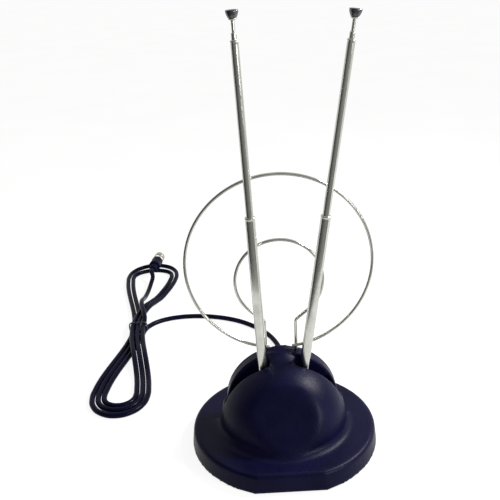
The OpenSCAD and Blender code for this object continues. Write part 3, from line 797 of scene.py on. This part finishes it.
@dataclass
class Studio:
    """The camera, the floor, the dark card and the light, in metres."""

    camera_at: Point = (-0.0265, -0.4472, 0.3282)
    looks_at: Point = (-0.01889, 0.0, 0.14737)
    roll_degrees: float = -2.54
    lens_mm: float = 53.1
    sensor_mm: float = 36.0
    floor_size: float = 40.0
    floor_patch_mm: float = 160.0
    floor_matt: Flat = (0.12, 0.13)
    floor_bright: Flat = (0.97, 1.0)
    floor_glow: float = 0.88
    flag_radius: float = 0.26
    flag_height: float = 0.7
    flag_from_to: Flat = (175.0, 335.0)
    flag_dark: Point = (0.015, 0.015, 0.017)
    flag_light: Point = (0.3, 0.3, 0.29)
    room_strength: float = 0.8
    room_tint: Point = (1.0, 1.0, 0.98)
    lamps: Sequence[tuple[str, Point, Point, float, float]] = (
        ("key", (0.42, 0.12, 0.5), (0.0, 0.0, 0.05), 0.16, 8.0),
        ("low_right", (0.6, -0.5, 0.3), (0.0, 0.0, 0.03), 0.16, 5.0),
    )

    def camera(self) -> None:
        """Sets the camera a little above the case, looking down at it."""
        data = bpy.data.cameras.new("camera")
        data.lens = self.lens_mm
        data.sensor_width = self.sensor_mm
        camera = bpy.data.objects.new("camera", data)
        bpy.context.scene.collection.objects.link(camera)
        gaze = Vector(self.looks_at) - Vector(self.camera_at)
        level = gaze.to_track_quat("-Z", "Y").to_matrix().to_4x4()
        roll = Matrix.Rotation(math.radians(self.roll_degrees), 4, "Z")
        camera.matrix_world = Matrix.Translation(self.camera_at) @ level @ roll
        bpy.context.scene.camera = camera

    def floor(self) -> None:
        """Lays the pale floor, which glows a little as a lit sweep does."""
        calm()
        bpy.ops.mesh.primitive_plane_add(size=self.floor_size)
        floor = bpy.context.object
        floor.name = "studio_floor"
        desk = Desk("floor_white")
        patches = desk.noise(self.floor_patch_mm, detail=2.0)
        matt = desk.blend(patches, *((grey,) * 3 for grey in self.floor_matt))
        glow = desk.blend(patches, *((grey,) * 3 for grey in self.floor_bright))
        desk.join(matt, desk.shader.inputs["Base Color"])
        desk.join(glow, desk.shader.inputs["Emission Color"])
        desk.shader.inputs["Emission Strength"].default_value = self.floor_glow
        desk.shader.inputs["Roughness"].default_value = 0.85
        desk.shader.inputs["Specular IOR Level"].default_value = 0.0
        floor.data.materials.append(desk.material)

    def flag(self) -> None:
        """Stands a dark curved card in front, which only glossy surfaces mirror."""
        start, end = (math.radians(a) for a in self.flag_from_to)
        calm()
        bpy.ops.mesh.primitive_plane_add(size=MM)
        card = bpy.context.object
        card.name = "studio_flag"
        bpy.ops.object.mode_set(mode="EDIT")
        bpy.ops.mesh.select_mode(type="VERT")
        bpy.ops.mesh.merge(type="CENTER")
        edge = Vector((math.cos(start), math.sin(start), 0.0)) * self.flag_radius
        bpy.ops.transform.translate(value=edge)
        bpy.ops.mesh.extrude_region_move(
            TRANSFORM_OT_translate={"value": (0.0, 0.0, self.flag_height)}
        )
        bpy.ops.mesh.select_all(action="SELECT")
        bpy.ops.mesh.spin(steps=24, angle=start - end, center=(0, 0, 0), axis=(0, 0, 1))
        bpy.ops.object.mode_set(mode="OBJECT")
        desk = Desk("flag_grey")
        split = desk.add("ShaderNodeSeparateXYZ")
        desk.join(desk.where, split.inputs["Vector"])
        share = desk.spread(split.outputs["X"], 0.0, 1.0, -self.flag_radius, self.flag_radius)
        grey = desk.blend(share, self.flag_dark, self.flag_light)
        desk.join(grey, desk.shader.inputs["Base Color"])
        desk.shader.inputs["Roughness"].default_value = 0.9
        desk.shader.inputs["Specular IOR Level"].default_value = 0.0
        card.data.materials.append(desk.material)
        card.visible_camera = card.visible_diffuse = card.visible_shadow = False

    def lamp(self, name: str, at: Point, aim: Point, size: float, power: float) -> None:
        """Hangs one soft square lamp.

        Args:
            name: Its name.
            at: Its place, in metres.
            aim: The point that it faces, in metres.
            size: Its side, in metres.
            power: Its power, in watts.
        """
        data = bpy.data.lights.new(name, "AREA")
        data.size = size
        data.energy = power
        lamp = bpy.data.objects.new(name, data)
        bpy.context.scene.collection.objects.link(lamp)
        lamp.location = at
        lamp.rotation_euler = (Vector(aim) - Vector(at)).to_track_quat("-Z", "Y").to_euler()

    def light(self) -> None:
        """Lights the room: pale all round, with two small soft lamps at the right."""
        world = bpy.data.worlds.new("room")
        bpy.context.scene.world = world
        world.use_nodes = True
        tree = world.node_tree
        tree.nodes.clear()
        back = tree.nodes.new("ShaderNodeBackground")
        out = tree.nodes.new("ShaderNodeOutputWorld")
        back.inputs["Color"].default_value = (*self.room_tint, 1.0)
        back.inputs["Strength"].default_value = self.room_strength
        tree.links.new(back.outputs["Background"], out.inputs["Surface"])
        for lamp in self.lamps:
            self.lamp(*lamp)
        bpy.context.scene.view_settings.view_transform = "Standard"

    def build(self) -> None:
        """Makes the camera, the floor, the dark card and the light."""
        self.camera()
        self.floor()
        self.flag()
        self.light()
        log.info("camera, floor and light are in place")


# ---------------------------------------------------------------- lead and plug


def ease(t: float) -> float:
    """A smooth run from 0 to 1, held at either end."""
    t = min(max(t, 0.0), 1.0)
    return t * t * (3 - 2 * t)


@dataclass
class Plug:
    """The screw plug at the lead's far end, in millimetres along its own axis."""

    at: Point = (-121.0, 296.0, 10.9)
    axis: Point = (0.139173, 0.990268, 0.0)
    neck_r: float = 3.9
    neck_groove_r: float = 3.45
    neck_rings: int = 3
    neck_pitch: float = 2.2
    grip_r: float = 5.95
    grip_end: float = 23.0
    flange_r: float = 5.2
    post_r: float = 3.4
    post_bore_r: float = 2.2
    post_end: float = 28.0
    post_turns: int = 6
    post_pitch: float = 0.55
    nut_low: float = 24.6
    nut_high: float = 35.6
    nut_r: float = 5.7
    nut_edge_r: float = 5.3
    nut_groove_r: float = 4.8
    nut_bore_r: float = 3.46
    nut_floor: float = 3.0
    nut_turns: int = 8
    nut_pitch: float = 0.9
    rim_length: float = 5.6
    flats_r: float = 6.25
    rim_r: float = 6.4
    slits: int = 4
    slit_half: float = 0.55
    slit_depth: float = 2.6
    wire_r: float = 0.44
    wire_tip_r: float = 0.5
    wire_end: float = 37.5
    disc_r: float = 2.15
    disc_end: float = 27.8

    def seat(self) -> Matrix:
        """Takes +Z of a turned piece to the plug's axis, from the boot's rear."""
        turn = Vector(self.axis).to_track_quat("Z", "Y").to_matrix().to_4x4()
        return Matrix.Translation(Vector(self.at) * MM) @ turn

    def along(self, step: float) -> Point:
        """The point that lies a step along the axis from the boot's rear."""
        return tuple(a + step * b for a, b in zip(self.at, self.axis))

    def boot(self) -> bpy.types.Object:
        """The moulded boot: a stepped grip with rings at its neck.

        Returns:
            The boot.
        """
        r, groove, end = self.neck_r, self.neck_groove_r, self.grip_end
        rings: list[Flat] = []
        for i in range(self.neck_rings):
            z = 1.2 + self.neck_pitch * i
            rings += [(r, z - 0.5), (r, z), (groove, z + 0.25), (groove, z + 1.0), (r, z + 1.3)]
        profile = [(0, 0), (3.0, 0), *arc((3.3, 0.6), 0.6, -90, 0, 3), *rings[1:], (r, 8.0)]
        profile += arc((5.7, 8.5), 0.5, -90, 0, 4)
        profile += [(6.2, 9.2), (self.grip_r, 12.0), (self.grip_r, 18.0), (6.05, 20.0)]
        profile += arc((5.4, 22.4), 0.6, 0, 90, 3)
        profile += [(self.flange_r, end), (0, end)]
        return place(turned("plug_grip", profile, steps=56), self.seat())

    def collar(self) -> bpy.types.Object:
        """The ferrule between the boot and the nut, with its threaded post.

        Returns:
            The ferrule.
        """
        low, r, bore = self.grip_end, self.post_r, self.post_bore_r
        wide, eased = self.flange_r, self.flange_r - 0.3
        profile = [(bore, low), (eased, low), (wide, low + 0.3), (wide, low + 1.1)]
        profile += [(eased, low + 1.4), (r, low + 1.4)]
        for i in range(self.post_turns):
            z = self.nut_low + self.post_pitch * i
            profile += [(r, z), (r - 0.15, z + 0.27)]
        profile += [(r, self.post_end), (bore, self.post_end)]
        return place(turned("plug_post", profile, steps=48, closed=True), self.seat())

    def nut(self) -> bpy.types.Object:
        """The coupling nut: six flats, a groove and a notched open rim.

        Returns:
            The nut.
        """
        low, high, r, edge = self.nut_low, self.nut_high, self.nut_r, self.nut_edge_r
        groove, bore = self.nut_groove_r, self.nut_bore_r
        outline = [
            (bore, low), (edge, low), (r, low + 0.4), (r, low + 4.2), (edge, low + 4.6),
            (groove, low + 4.7), (groove, low + 5.6), (edge, low + 5.7), (r, low + 6.1),
            (r, high - 0.5), (r - 0.5, high), (4.75, high),
        ]
        for i in range(self.nut_turns):
            z = high - 0.4 - self.nut_pitch * i
            outline += [(4.55, z), (4.35, z - self.nut_pitch / 2)]
        outline += [(4.5, low + self.nut_floor), (bore, low + self.nut_floor)]
        nut = turned("plug_coupling_nut", outline, steps=72, closed=True)
        shoulder = high - self.rim_length
        flats = prism("flats", 6, self.flats_r, low - 1, shoulder)
        rim = prism("rim", 48, self.rim_r, shoulder - 0.01, high + 1)
        combine(nut, unite("trim", [flats, rim]), Join.KEEP)
        for i in range(self.slits):
            half = self.slit_half
            slit = block("slit", (-half, 3.4, high - self.slit_depth), (half, 7.0, high + 1))
            place(slit, Matrix.Rotation(FULL_TURN * (i + 0.5) / self.slits, 4, "Z"))
            combine(nut, slit, Join.CUT)
        return place(smooth(nut, 28), self.seat())

    def pin(self) -> bpy.types.Object:
        """The centre conductor with its rounded tip.

        Returns:
            The conductor.
        """
        r, tip, low, bare = self.wire_r, self.wire_tip_r, self.grip_end, self.disc_end
        profile = [(0, low), (r, low), (r, bare), (tip, bare + 0.1)]
        profile += arc((0, self.wire_end), tip, 0, 90, 4)
        return place(turned("plug_centre_pin", profile, steps=16), self.seat())

    def insulator(self) -> bpy.types.Object:
        """The white disc round the centre conductor.

        Returns:
            The disc.
        """
        hole, r, low, high = self.wire_tip_r, self.disc_r, self.grip_end, self.disc_end
        profile = [(hole, low), (r - 0.15, low), (r, low + 0.2), (r, high - 0.3)]
        profile += [(r - 0.25, high), (hole + 0.2, high), (hole, high - 0.2)]
        return place(turned("plug_dielectric", profile, steps=32, closed=True), self.seat())

    def build(self) -> list[bpy.types.Object]:
        """Builds the plug, its nut on the body that spins.

        Returns:
            Its pieces.
        """
        return [
            deliver(self.boot(), "base", BOOT, ("plug_boot",)),
            deliver(self.collar(), "base", NICKEL, ("plug_collar",)),
            deliver(self.nut(), "plug_coupling", NICKEL, ("plug_nut",)),
            deliver(self.pin(), "base", COPPER, ("plug_pin",)),
            deliver(self.insulator(), "base", INSULATOR, ("plug_insulator",)),
        ]


@dataclass
class Lead:
    """The coaxial lead: over the floor, wound into a tied hank, and up to its plug.

    Lengths are in millimetres. Three turns go round the near end and two round the
    far end, and the loose inner end rises over them to the plug.
    """

    plug: Plug
    diameter: float = 4.5
    low: float = 2.3
    high: float = 7.05
    pitch: float = 4.85
    waist: Flat = (-124.0, 172.0)
    near: Flat = (-127.0, 60.0)
    far: Flat = (-121.5, 296.0)
    near_turns: Sequence[Flat] = ((12.6, 13.0), (17.4, 19.0), (22.2, 26.0))
    far_turns: Sequence[Flat] = ((20.6, 16.0), (26.0, 30.0))
    over_near: Flat = (50.0, 36.0)
    over_far: Flat = (37.0, 34.0)
    strand_points: int = 9
    loop_chords: int = 6
    exit: Point = (0.0, 70.6, 7.0)
    run: Sequence[Point] = (
        (1.2, 75, 6), (2, 80, 4.8), (3.2, 86, 3.4), (4.2, 92, 2.5), (5.6, 103, 2.3),
        (6, 114, 2.3), (5, 126, 2.3), (2, 138, 2.3), (-3, 150, 2.3), (-10, 161, 2.3),
        (-19, 171, 2.3), (-29, 179.5, 2.3), (-40, 186, 2.3), (-52, 190.8, 2.3),
        (-64, 193.8, 2.3), (-76, 195, 2.3), (-88, 194.2, 2.3), (-98, 191.6, 2.3),
        (-106.5, 187.2, 2.3), (-113, 181, 2.3), (-117, 174, 2.3),
    )
    rise: Sequence[Point] = (
        (4.85, -3, 7.15), (5.25, 3, 8.0), (5.35, 9, 9.8), (4.2, 16, 11.3), (2.7, 23, 11.9),
        (0.8, 30, 12.0), (-0.8, 38, 11.8), (-1.6, 46, 10.6), (-1.9, 55, 7.8), (-1.9, 66, 4.4),
        (-1.4, 78, 2.7), (-0.6, 90, 2.7), (0.4, 101, 4.4), (1.5, 111, 8.0),
    )
    into_plug: Sequence[float] = (-5.5, 1.0)
    tie_r: float = 0.62
    tie_top: float = 10.25
    tie_low: float = 0.65
    tie_half: float = 8.2
    tie_bend: float = 3.0
    tie_ends: Flat = (2.0, 2.6)

    def middle(self, y: float) -> float:
        """Where the hank's own centre line is at a distance along it.

        Args:
            y: The distance, on the Y axis.

        Returns:
            The centre line's X.
        """
        goal = self.near if y < self.waist[1] else self.far
        share = ease((y - self.waist[1]) / (goal[1] - self.waist[1]))
        return self.waist[0] + (goal[0] - self.waist[0]) * share

    def strand(self, side: int, place_in: int, half: float, near: bool) -> list[Point]:
        """Points of one strand from the waist to just short of an end loop.

        Args:
            side: -1 for the bundle that lies below at the waist, 1 for the one over it.
            place_in: Place in the bundle at the waist, 0 for the innermost.
            half: Half the width of the loop that it leads to.
            near: True towards the near end.

        Returns:
            The points in order from the waist.
        """
        goal = self.near[1] if near else self.far[1]
        reach = goal - self.waist[1]
        flat, fall = self.over_near if near else self.over_far
        offset = (place_in - 1) * self.pitch
        points = []
        for i in range(self.strand_points):
            t = i / self.strand_points
            y = self.waist[1] + reach * t
            x = self.middle(y) + side * (offset + (half - offset) * ease(t))
            drop = ease((abs(reach) * t - flat) / fall)
            z = self.low if side < 0 else self.high - (self.high - self.low) * drop
            points.append((x, y, z))
        return points

    def loop(self, half: float, reach: float, near: bool) -> list[Point]:
        """The turn at one end of the hank.

        Args:
            half: Half its width.
            reach: How far it goes past the end's centre.
            near: True for the near end.

        Returns:
            The points in the order in which the lead is wound.
        """
        goal = self.near[1] if near else self.far[1]
        way = -1 if near else 1
        angles = [math.pi * i / self.loop_chords for i in range(self.loop_chords + 1)]
        return [
            (
                self.middle(goal) + way * half * math.cos(a),
                goal + way * reach * math.sin(a),
                self.low,
            )
            for a in angles
        ]

    def route(self) -> list[Vector]:
        """The whole centre line, from the gland to the inside of the boot.

        Returns:
            Its points, in metres.
        """
        points: list[Point] = [self.exit, *self.run]
        for turn, (half, reach) in enumerate(self.near_turns):
            down = self.strand(-1, turn, half, True)
            points += down[1:] if turn == 0 else down
            points += self.loop(half, reach, True)
            up = self.strand(1, turn, half, True)[::-1]
            if turn < len(self.far_turns):
                wide, deep = self.far_turns[turn]
                points += up + self.strand(1, turn, wide, False)[1:]
                points += self.loop(wide, deep, False)
                points += self.strand(-1, turn + 1, wide, False)[::-1][:-1]
            else:
                points += up[:-1]
        for dx, dy, z in self.rise:
            y = self.waist[1] + dy
            points.append((self.middle(y) + dx, y, z))
        points += [self.plug.along(step) for step in self.into_plug]
        return [Vector(p) * MM for p in points]

    def lay(self) -> tuple[bpy.types.Object, float]:
        """Lays the lead as one smooth curve.

        Returns:
            The curve object and its length in metres.
        """
        points = self.route()
        data = bpy.data.curves.new("coaxial_lead", "CURVE")
        data.dimensions = "3D"
        data.bevel_depth = self.diameter / 2 * MM
        data.bevel_resolution = 5
        data.resolution_u = 6
        data.use_fill_caps = True
        line = data.splines.new("BEZIER")
        line.bezier_points.add(len(points) - 1)
        for knot, point in zip(line.bezier_points, points):
            knot.co = point
            knot.handle_left_type = knot.handle_right_type = "AUTO"
        piece = bpy.data.objects.new("coaxial_lead", data)
        bpy.context.scene.collection.objects.link(piece)
        bpy.context.view_layer.update()
        return piece, line.calc_length()

    def tie(self) -> bpy.types.Object:
        """The wire tie round the waist, whose ends stop just short of each other on top.

        Returns:
            The tie.
        """
        x, y = self.waist
        top, low, bend = self.tie_top, self.tie_low, self.tie_bend
        side, drop = self.tie_half - bend, top - low - 2 * bend
        first, last = self.tie_ends
        wire = Wire("hank_tie", self.tie_r, (x - first, y, top), (1, 0, 0), 12)
        wire.straight((side + first, 0, 0)).bend((x + side, y, top - bend), (0, 1, 0), 90, 6)
        wire.straight((0, 0, -drop)).bend((x + side, y, low + bend), (0, 1, 0), 90, 6)
        wire.straight((-2 * side, 0, 0)).bend((x - side, y, low + bend), (0, 1, 0), 90, 6)
        wire.straight((0, 0, drop)).bend((x - side, y, top - bend), (0, 1, 0), 90, 6)
        wire.straight((side - last, 0, 0))
        return wire.done(0.15)

    def build(self) -> None:
        """Lays the lead and fits its plug and tie."""
        lead, length = self.lay()
        deliver(lead, "base", JACKET, ("cord_lead", "cord_hank", "cord_tail"))
        ends = self.plug.build()
        tie = deliver(self.tie(), "base", TIE, ("cord_tie",))
        log.info("the lead is %.3f m long", length)


# ---------------------------------------------------------------- case


@dataclass
class Case:
    """The moulded cover, the arch's rear cover, and what they hold."""

    voxel_mm: float = 0.8
    rear_voxel_mm: float = 0.7
    smoothing: int = 6
    ball_at: Point = (0.0, 0.0, 18.0)
    ball_r: float = 44.5
    face_depth: float = 38.5
    face_tilt: float = 30.0
    face_ease: float = 5.0
    face_passes: int = 45

    def moulded(self, node: str, name: str, voxel_mm: float) -> bpy.types.Object:
        """A cover with its edges softened as a mould leaves them.

        Args:
            node: The CAD node that it is made from.
            name: Name of the piece.
            voxel_mm: Size of the grid that it is laid on before it is softened.

        Returns:
            The cover.
        """
        piece = cad_copy(node, name)
        modify(piece, "REMESH", mode="VOXEL", voxel_size=voxel_mm * MM, adaptivity=0.0)
        modify(piece, "SMOOTH", factor=0.5, iterations=self.smoothing)
        return smooth(piece, 60)

    def soften_face(self, piece: bpy.types.Object) -> bpy.types.Object:
        """Rounds the edge between the ball and its flat round face.

        Args:
            piece: The case's cover.

        Returns:
            The same cover.
        """
        tilt = math.radians(self.face_tilt)
        normal = Vector((0.0, -math.cos(tilt), math.sin(tilt)))
        centre = Vector(self.ball_at) + self.face_depth * normal
        radius = math.sqrt(self.ball_r ** 2 - self.face_depth ** 2)
        pick(piece)
        bpy.ops.object.mode_set(mode="EDIT")
        bpy.ops.mesh.select_mode(type="VERT")
        bpy.ops.mesh.select_all(action="DESELECT")
        bpy.ops.object.mode_set(mode="OBJECT")
        for vertex in piece.data.vertices:
            away = vertex.co / MM - centre
            height = away.dot(normal)
            across = (away - height * normal).length
            vertex.select = math.hypot(across - radius, height) < self.face_ease
        bpy.ops.object.mode_set(mode="EDIT")
        bpy.ops.mesh.vertices_smooth(factor=0.5, repeat=self.face_passes)
        bpy.ops.object.mode_set(mode="OBJECT")
        return piece

    def build(self) -> None:
        """Builds both covers and dresses the CAD's own meshes of the rest."""
        cover = self.soften_face(self.moulded("housing_cover", "case_cover", self.voxel_mm))
        deliver(cover, "base", CASE, ("housing_cover",))
        rear = self.moulded("rear_cover", "arch_rear_cover", self.rear_voxel_mm)
        deliver(rear, "base", CASE, ("rear_cover",))
        for finish, nodes in (
            (PLATE, ("bottom_plate",)),
            (RUBBER, ("rubber_feet", "cord_gland")),
            (BAR_STEEL, ("ballast_weights",)),
            (ZINC, ("rear_cover_screws", "base_screws", "ballast_screws", "board_screws")),
            (ZINC, ("clamp_screws", "cable_clamp", "pivot_screws", "pivot_nuts")),
            (ZINC, ("spring_washers", "loop_set_screws")),
            (BOARD, ("terminal_board",)),
            (PRESSED_STEEL, ("left_arm_bracket", "right_arm_bracket")),
            (BRASS, ("bracket_rivets", "loop_sockets")),
            (FERRITE, ("ferrite_core",)),
            (COPPER, ("balun_windings",)),
            (CERAMIC, ("board_capacitors",)),
            (RED_SLEEVE, ("jumper_wires",)),
            (JACKET, ("inner_lead",)),
        ):
            FINISHES.dress_nodes(nodes, finish)
        log.info("the case and what it holds are dressed")


# ---------------------------------------------------------------- arms


@dataclass
class Arm:
    """One telescopic arm, from its knuckle to its cap, in millimetres along the arm."""

    side: Side
    lean_degrees: float
    pivot: Flat = (12.5, 36.5)
    radii: Sequence[float] = (3.4, 2.5, 1.7, 1.1)
    bores: Sequence[float] = (3.0, 2.15, 1.4)
    starts: Sequence[float] = (9.5, 120.0, 126.5)
    ends: Sequence[float] = (134.0, 244.5, 248.5)
    beads: Sequence[Flat] = ((0.95, 0.2), (0.95, 0.2), (0.5, 0.0))
    lip: float = 3.0
    bead_foot: float = 2.5
    mouth_gap: float = 0.05
    edge: float = 0.15
    rod_start: float = 134.5
    rod_edge: float = 0.2
    collar_r: float = 1.75
    cap_at: float = 256.3
    cap_height: float = 5.0
    cap_seat: float = 2.0
    eye_r: float = 4.2
    eye_half: float = 2.0
    tang_half: float = 2.8
    tang_top: float = 9.6
    plug_r: float = 2.98
    plug_from_to: Flat = (9.0, 17.0)
    hole_r: float = 1.55

    def frame_of_arm(self) -> Matrix:
        """Takes the Z axis to the arm's own line.

        Returns:
            The matrix, in metres.
        """
        at = Vector((self.side.value * self.pivot[0], 0.0, self.pivot[1])) * MM
        lean = Matrix.Rotation(math.radians(self.side.value * self.lean_degrees), 4, "Y")
        return Matrix.Translation(at) @ lean

    def tube(self, index: int, name: str) -> bpy.types.Object:
        """One drawn tube with its top rolled in to the next section.

        Args:
            index: 0 for the outer section, 2 for the third.
            name: Name of the piece.

        Returns:
            The tube.
        """
        r, bore, edge = self.radii[index], self.bores[index], self.edge
        low, high = self.starts[index], self.ends[index]
        mouth, foot = self.radii[index + 1] + self.mouth_gap, high - self.lip
        roll, proud = self.beads[index]
        first = -math.degrees(math.acos(1 - proud / roll))
        curl = arc((r + proud - roll, high - edge - roll), roll, first, 90, 9)
        profile = [
            (bore, low + edge), (bore + edge, low), (r - edge, low), (r, low + edge),
            (r, (low + high) / 2), (r, high - self.bead_foot), *curl, (mouth, high - 0.35),
            (mouth, foot), (bore, foot),
        ]
        return place(turned(name, profile, steps=64, closed=True), self.frame_of_arm())

    def rod(self, name: str) -> bpy.types.Object:
        """The solid tip rod with its bright collar under the cap.

        Args:
            name: Name of the piece.

        Returns:
            The rod.
        """
        r, low, top, edge = self.radii[3], self.rod_start, self.cap_at, self.rod_edge
        profile = [
            (0, low), (r - edge, low), (r, low + edge),
            (r, top - 0.95), (self.collar_r - 0.05, top - 0.9), (self.collar_r, top - 0.75),
            *arc((2.0, top - 0.1), 0.55, -90, 90, 6),
            (r, top + 0.5), (r, top + self.cap_seat), (0, top + self.cap_seat),
        ]
        return place(turned(name, profile, steps=40), self.frame_of_arm())

    def cap(self, name: str) -> bpy.types.Object:
        """The flared cap, waisted to the rod and dished on top.

        Args:
            name: Name of the piece.

        Returns:
            The cap.
        """
        z, h, r = self.cap_at, self.cap_height, self.radii[3]
        profile = [
            (r, z + 0.5), (2.3, z + 0.5), *arc((2.45, z + 0.85), 0.35, -90, -10, 3)[1:],
            (3.1, z + 1.5), (3.55, z + 2.5), (3.8, z + 3.4), (3.9, z + 4.1),
            *arc((3.4, z + h - 0.5), 0.5, 0, 90, 5), (2.8, z + h - 0.1), (2.2, z + h - 0.5),
            (1.1, z + h - 0.6), (0, z + h - 0.6), (0, z + self.cap_seat), (r, z + self.cap_seat),
        ]
        return place(turned(name, profile, steps=48, closed=True), self.frame_of_arm())

    def knuckle(self, name: str) -> bpy.types.Object:
        """The flattened eye that the pivot screw passes through, and its plug.

        Args:
            name: Name of the piece.

        Returns:
            The eye.
        """
        lying = Matrix.Rotation(math.radians(90), 4, "X")
        half, wide = self.eye_half, self.tang_half
        eye = place(prism(name, 48, self.eye_r, -half, half), lying)
        combine(eye, block("tang", (-wide, -half, 0.0), (wide, half, self.tang_top)), Join.ADD)
        r, (low, high) = self.plug_r, self.plug_from_to
        plug = [(0, low), (r, low), (r, high - 0.4), (r - 0.38, high), (0, high)]
        combine(eye, turned("plug", plug, steps=48), Join.ADD)
        combine(eye, place(prism("hole", 32, self.hole_r, -6, 6), lying), Join.CUT)
        return place(round_edges(eye, 0.3, 2), self.frame_of_arm())

    def build(self) -> None:
        """Builds the arm's sections, each on its own body."""
        s = self.side.word
        bodies = (f"{s}_arm", f"{s}_second_section", f"{s}_third_section", f"{s}_tip_section")
        for i, section in enumerate(("outer", "second", "third")):
            piece = self.tube(i, f"{s}_{section}_section")
            deliver(piece, bodies[i], CHROME, (f"{s}_{section}_tube",))
        deliver(self.rod(f"{s}_rod"), bodies[3], CHROME, (f"{s}_tip_rod",))
        deliver(self.cap(f"{s}_cap"), bodies[3], TIP_METAL, (f"{s}_tip_cap",))
        eye = self.knuckle(f"{s}_eye")
        deliver(eye, bodies[0], PRESSED_STEEL, (f"{s}_knuckle",))
        sleeves = [f"{s}_{inner}_sleeve" for inner in ("second", "third", "rod")]
        FINISHES.dress_nodes(sleeves, BRASS)


# ---------------------------------------------------------------- loops


@dataclass
class Loops:
    """The two wire loops behind the arms, in millimetres."""

    wire: float = 1.1
    small_y: float = 9.4
    small_z: float = 120.0
    small_r: float = 30.0
    leave_degrees: float = 40.0
    leg_x: float = 10.8
    leg_low: float = 26.0
    bend_r: float = 4.0
    large_y: float = 7.25
    large_z: float = 133.0
    large_r: float = 63.0
    open_degrees: float = 7.0
    open_end_ease: float = 0.35

    def small(self) -> bpy.types.Object:
        """The small loop, bent up from one socket and down to the other.

        Returns:
            The loop.
        """
        a = math.radians(self.leave_degrees)
        turn = 90 - self.leave_degrees
        leave_x = self.small_r * math.sin(a)
        leave_z = self.small_z - self.small_r * math.cos(a)
        corner_z = leave_z - (leave_x - self.leg_x) * math.tan(a)
        cut = self.bend_r * math.tan(math.radians(turn) / 2)
        bend_x, bend_z = self.leg_x + self.bend_r, corner_z - cut
        y = self.small_y
        wire = Wire("small_wire_loop", self.wire, (self.leg_x, y, self.leg_low), (0, 0, 1))
        wire.straight((0, 0, bend_z - self.leg_low))
        wire.bend((bend_x, y, bend_z), (0, 1, 0), turn, 8)
        run_x = leave_x - self.leg_x - cut * math.cos(a)
        run_z = leave_z - corner_z - cut * math.sin(a)
        wire.straight((run_x, 0, run_z))
        wire.bend((0, y, self.small_z), (0, -1, 0), 360 - 2 * self.leave_degrees, 96)
        wire.straight((run_x, 0, -run_z))
        wire.bend((-bend_x, y, bend_z), (0, 1, 0), turn, 8)
        wire.straight((0, 0, self.leg_low - bend_z))
        return wire.done()

    def large(self) -> bpy.types.Object:
        """The large loop, open at the bottom between its two cut ends.

        Returns:
            The loop.
        """
        a, r = math.radians(self.open_degrees), self.large_r
        start = (r * math.sin(a), self.large_y, self.large_z - r * math.cos(a))
        heading = (math.cos(a), 0, math.sin(a))
        wire = Wire("large_wire_loop", self.wire, start, heading)
        wire.bend((0, self.large_y, self.large_z), (0, -1, 0), 360 - 2 * self.open_degrees, 140)
        return wire.done(self.open_end_ease)

    def build(self) -> None:
        """Builds both loops."""
        deliver(self.small(), "base", LOOP_PLATE, ("small_ring",))
        deliver(self.large(), "base", LOOP_PLATE, ("large_ring",))


def main() -> None:
    """Builds every sub-assembly in order."""
    Studio().build()
    Lead(Plug()).build()
    Case().build()
    for side, lean in ((Side.LEFT, 2.4), (Side.RIGHT, 8.0)):
        Arm(side, lean).build()
    Loops().build()


if __name__ == "__main__":
    main()
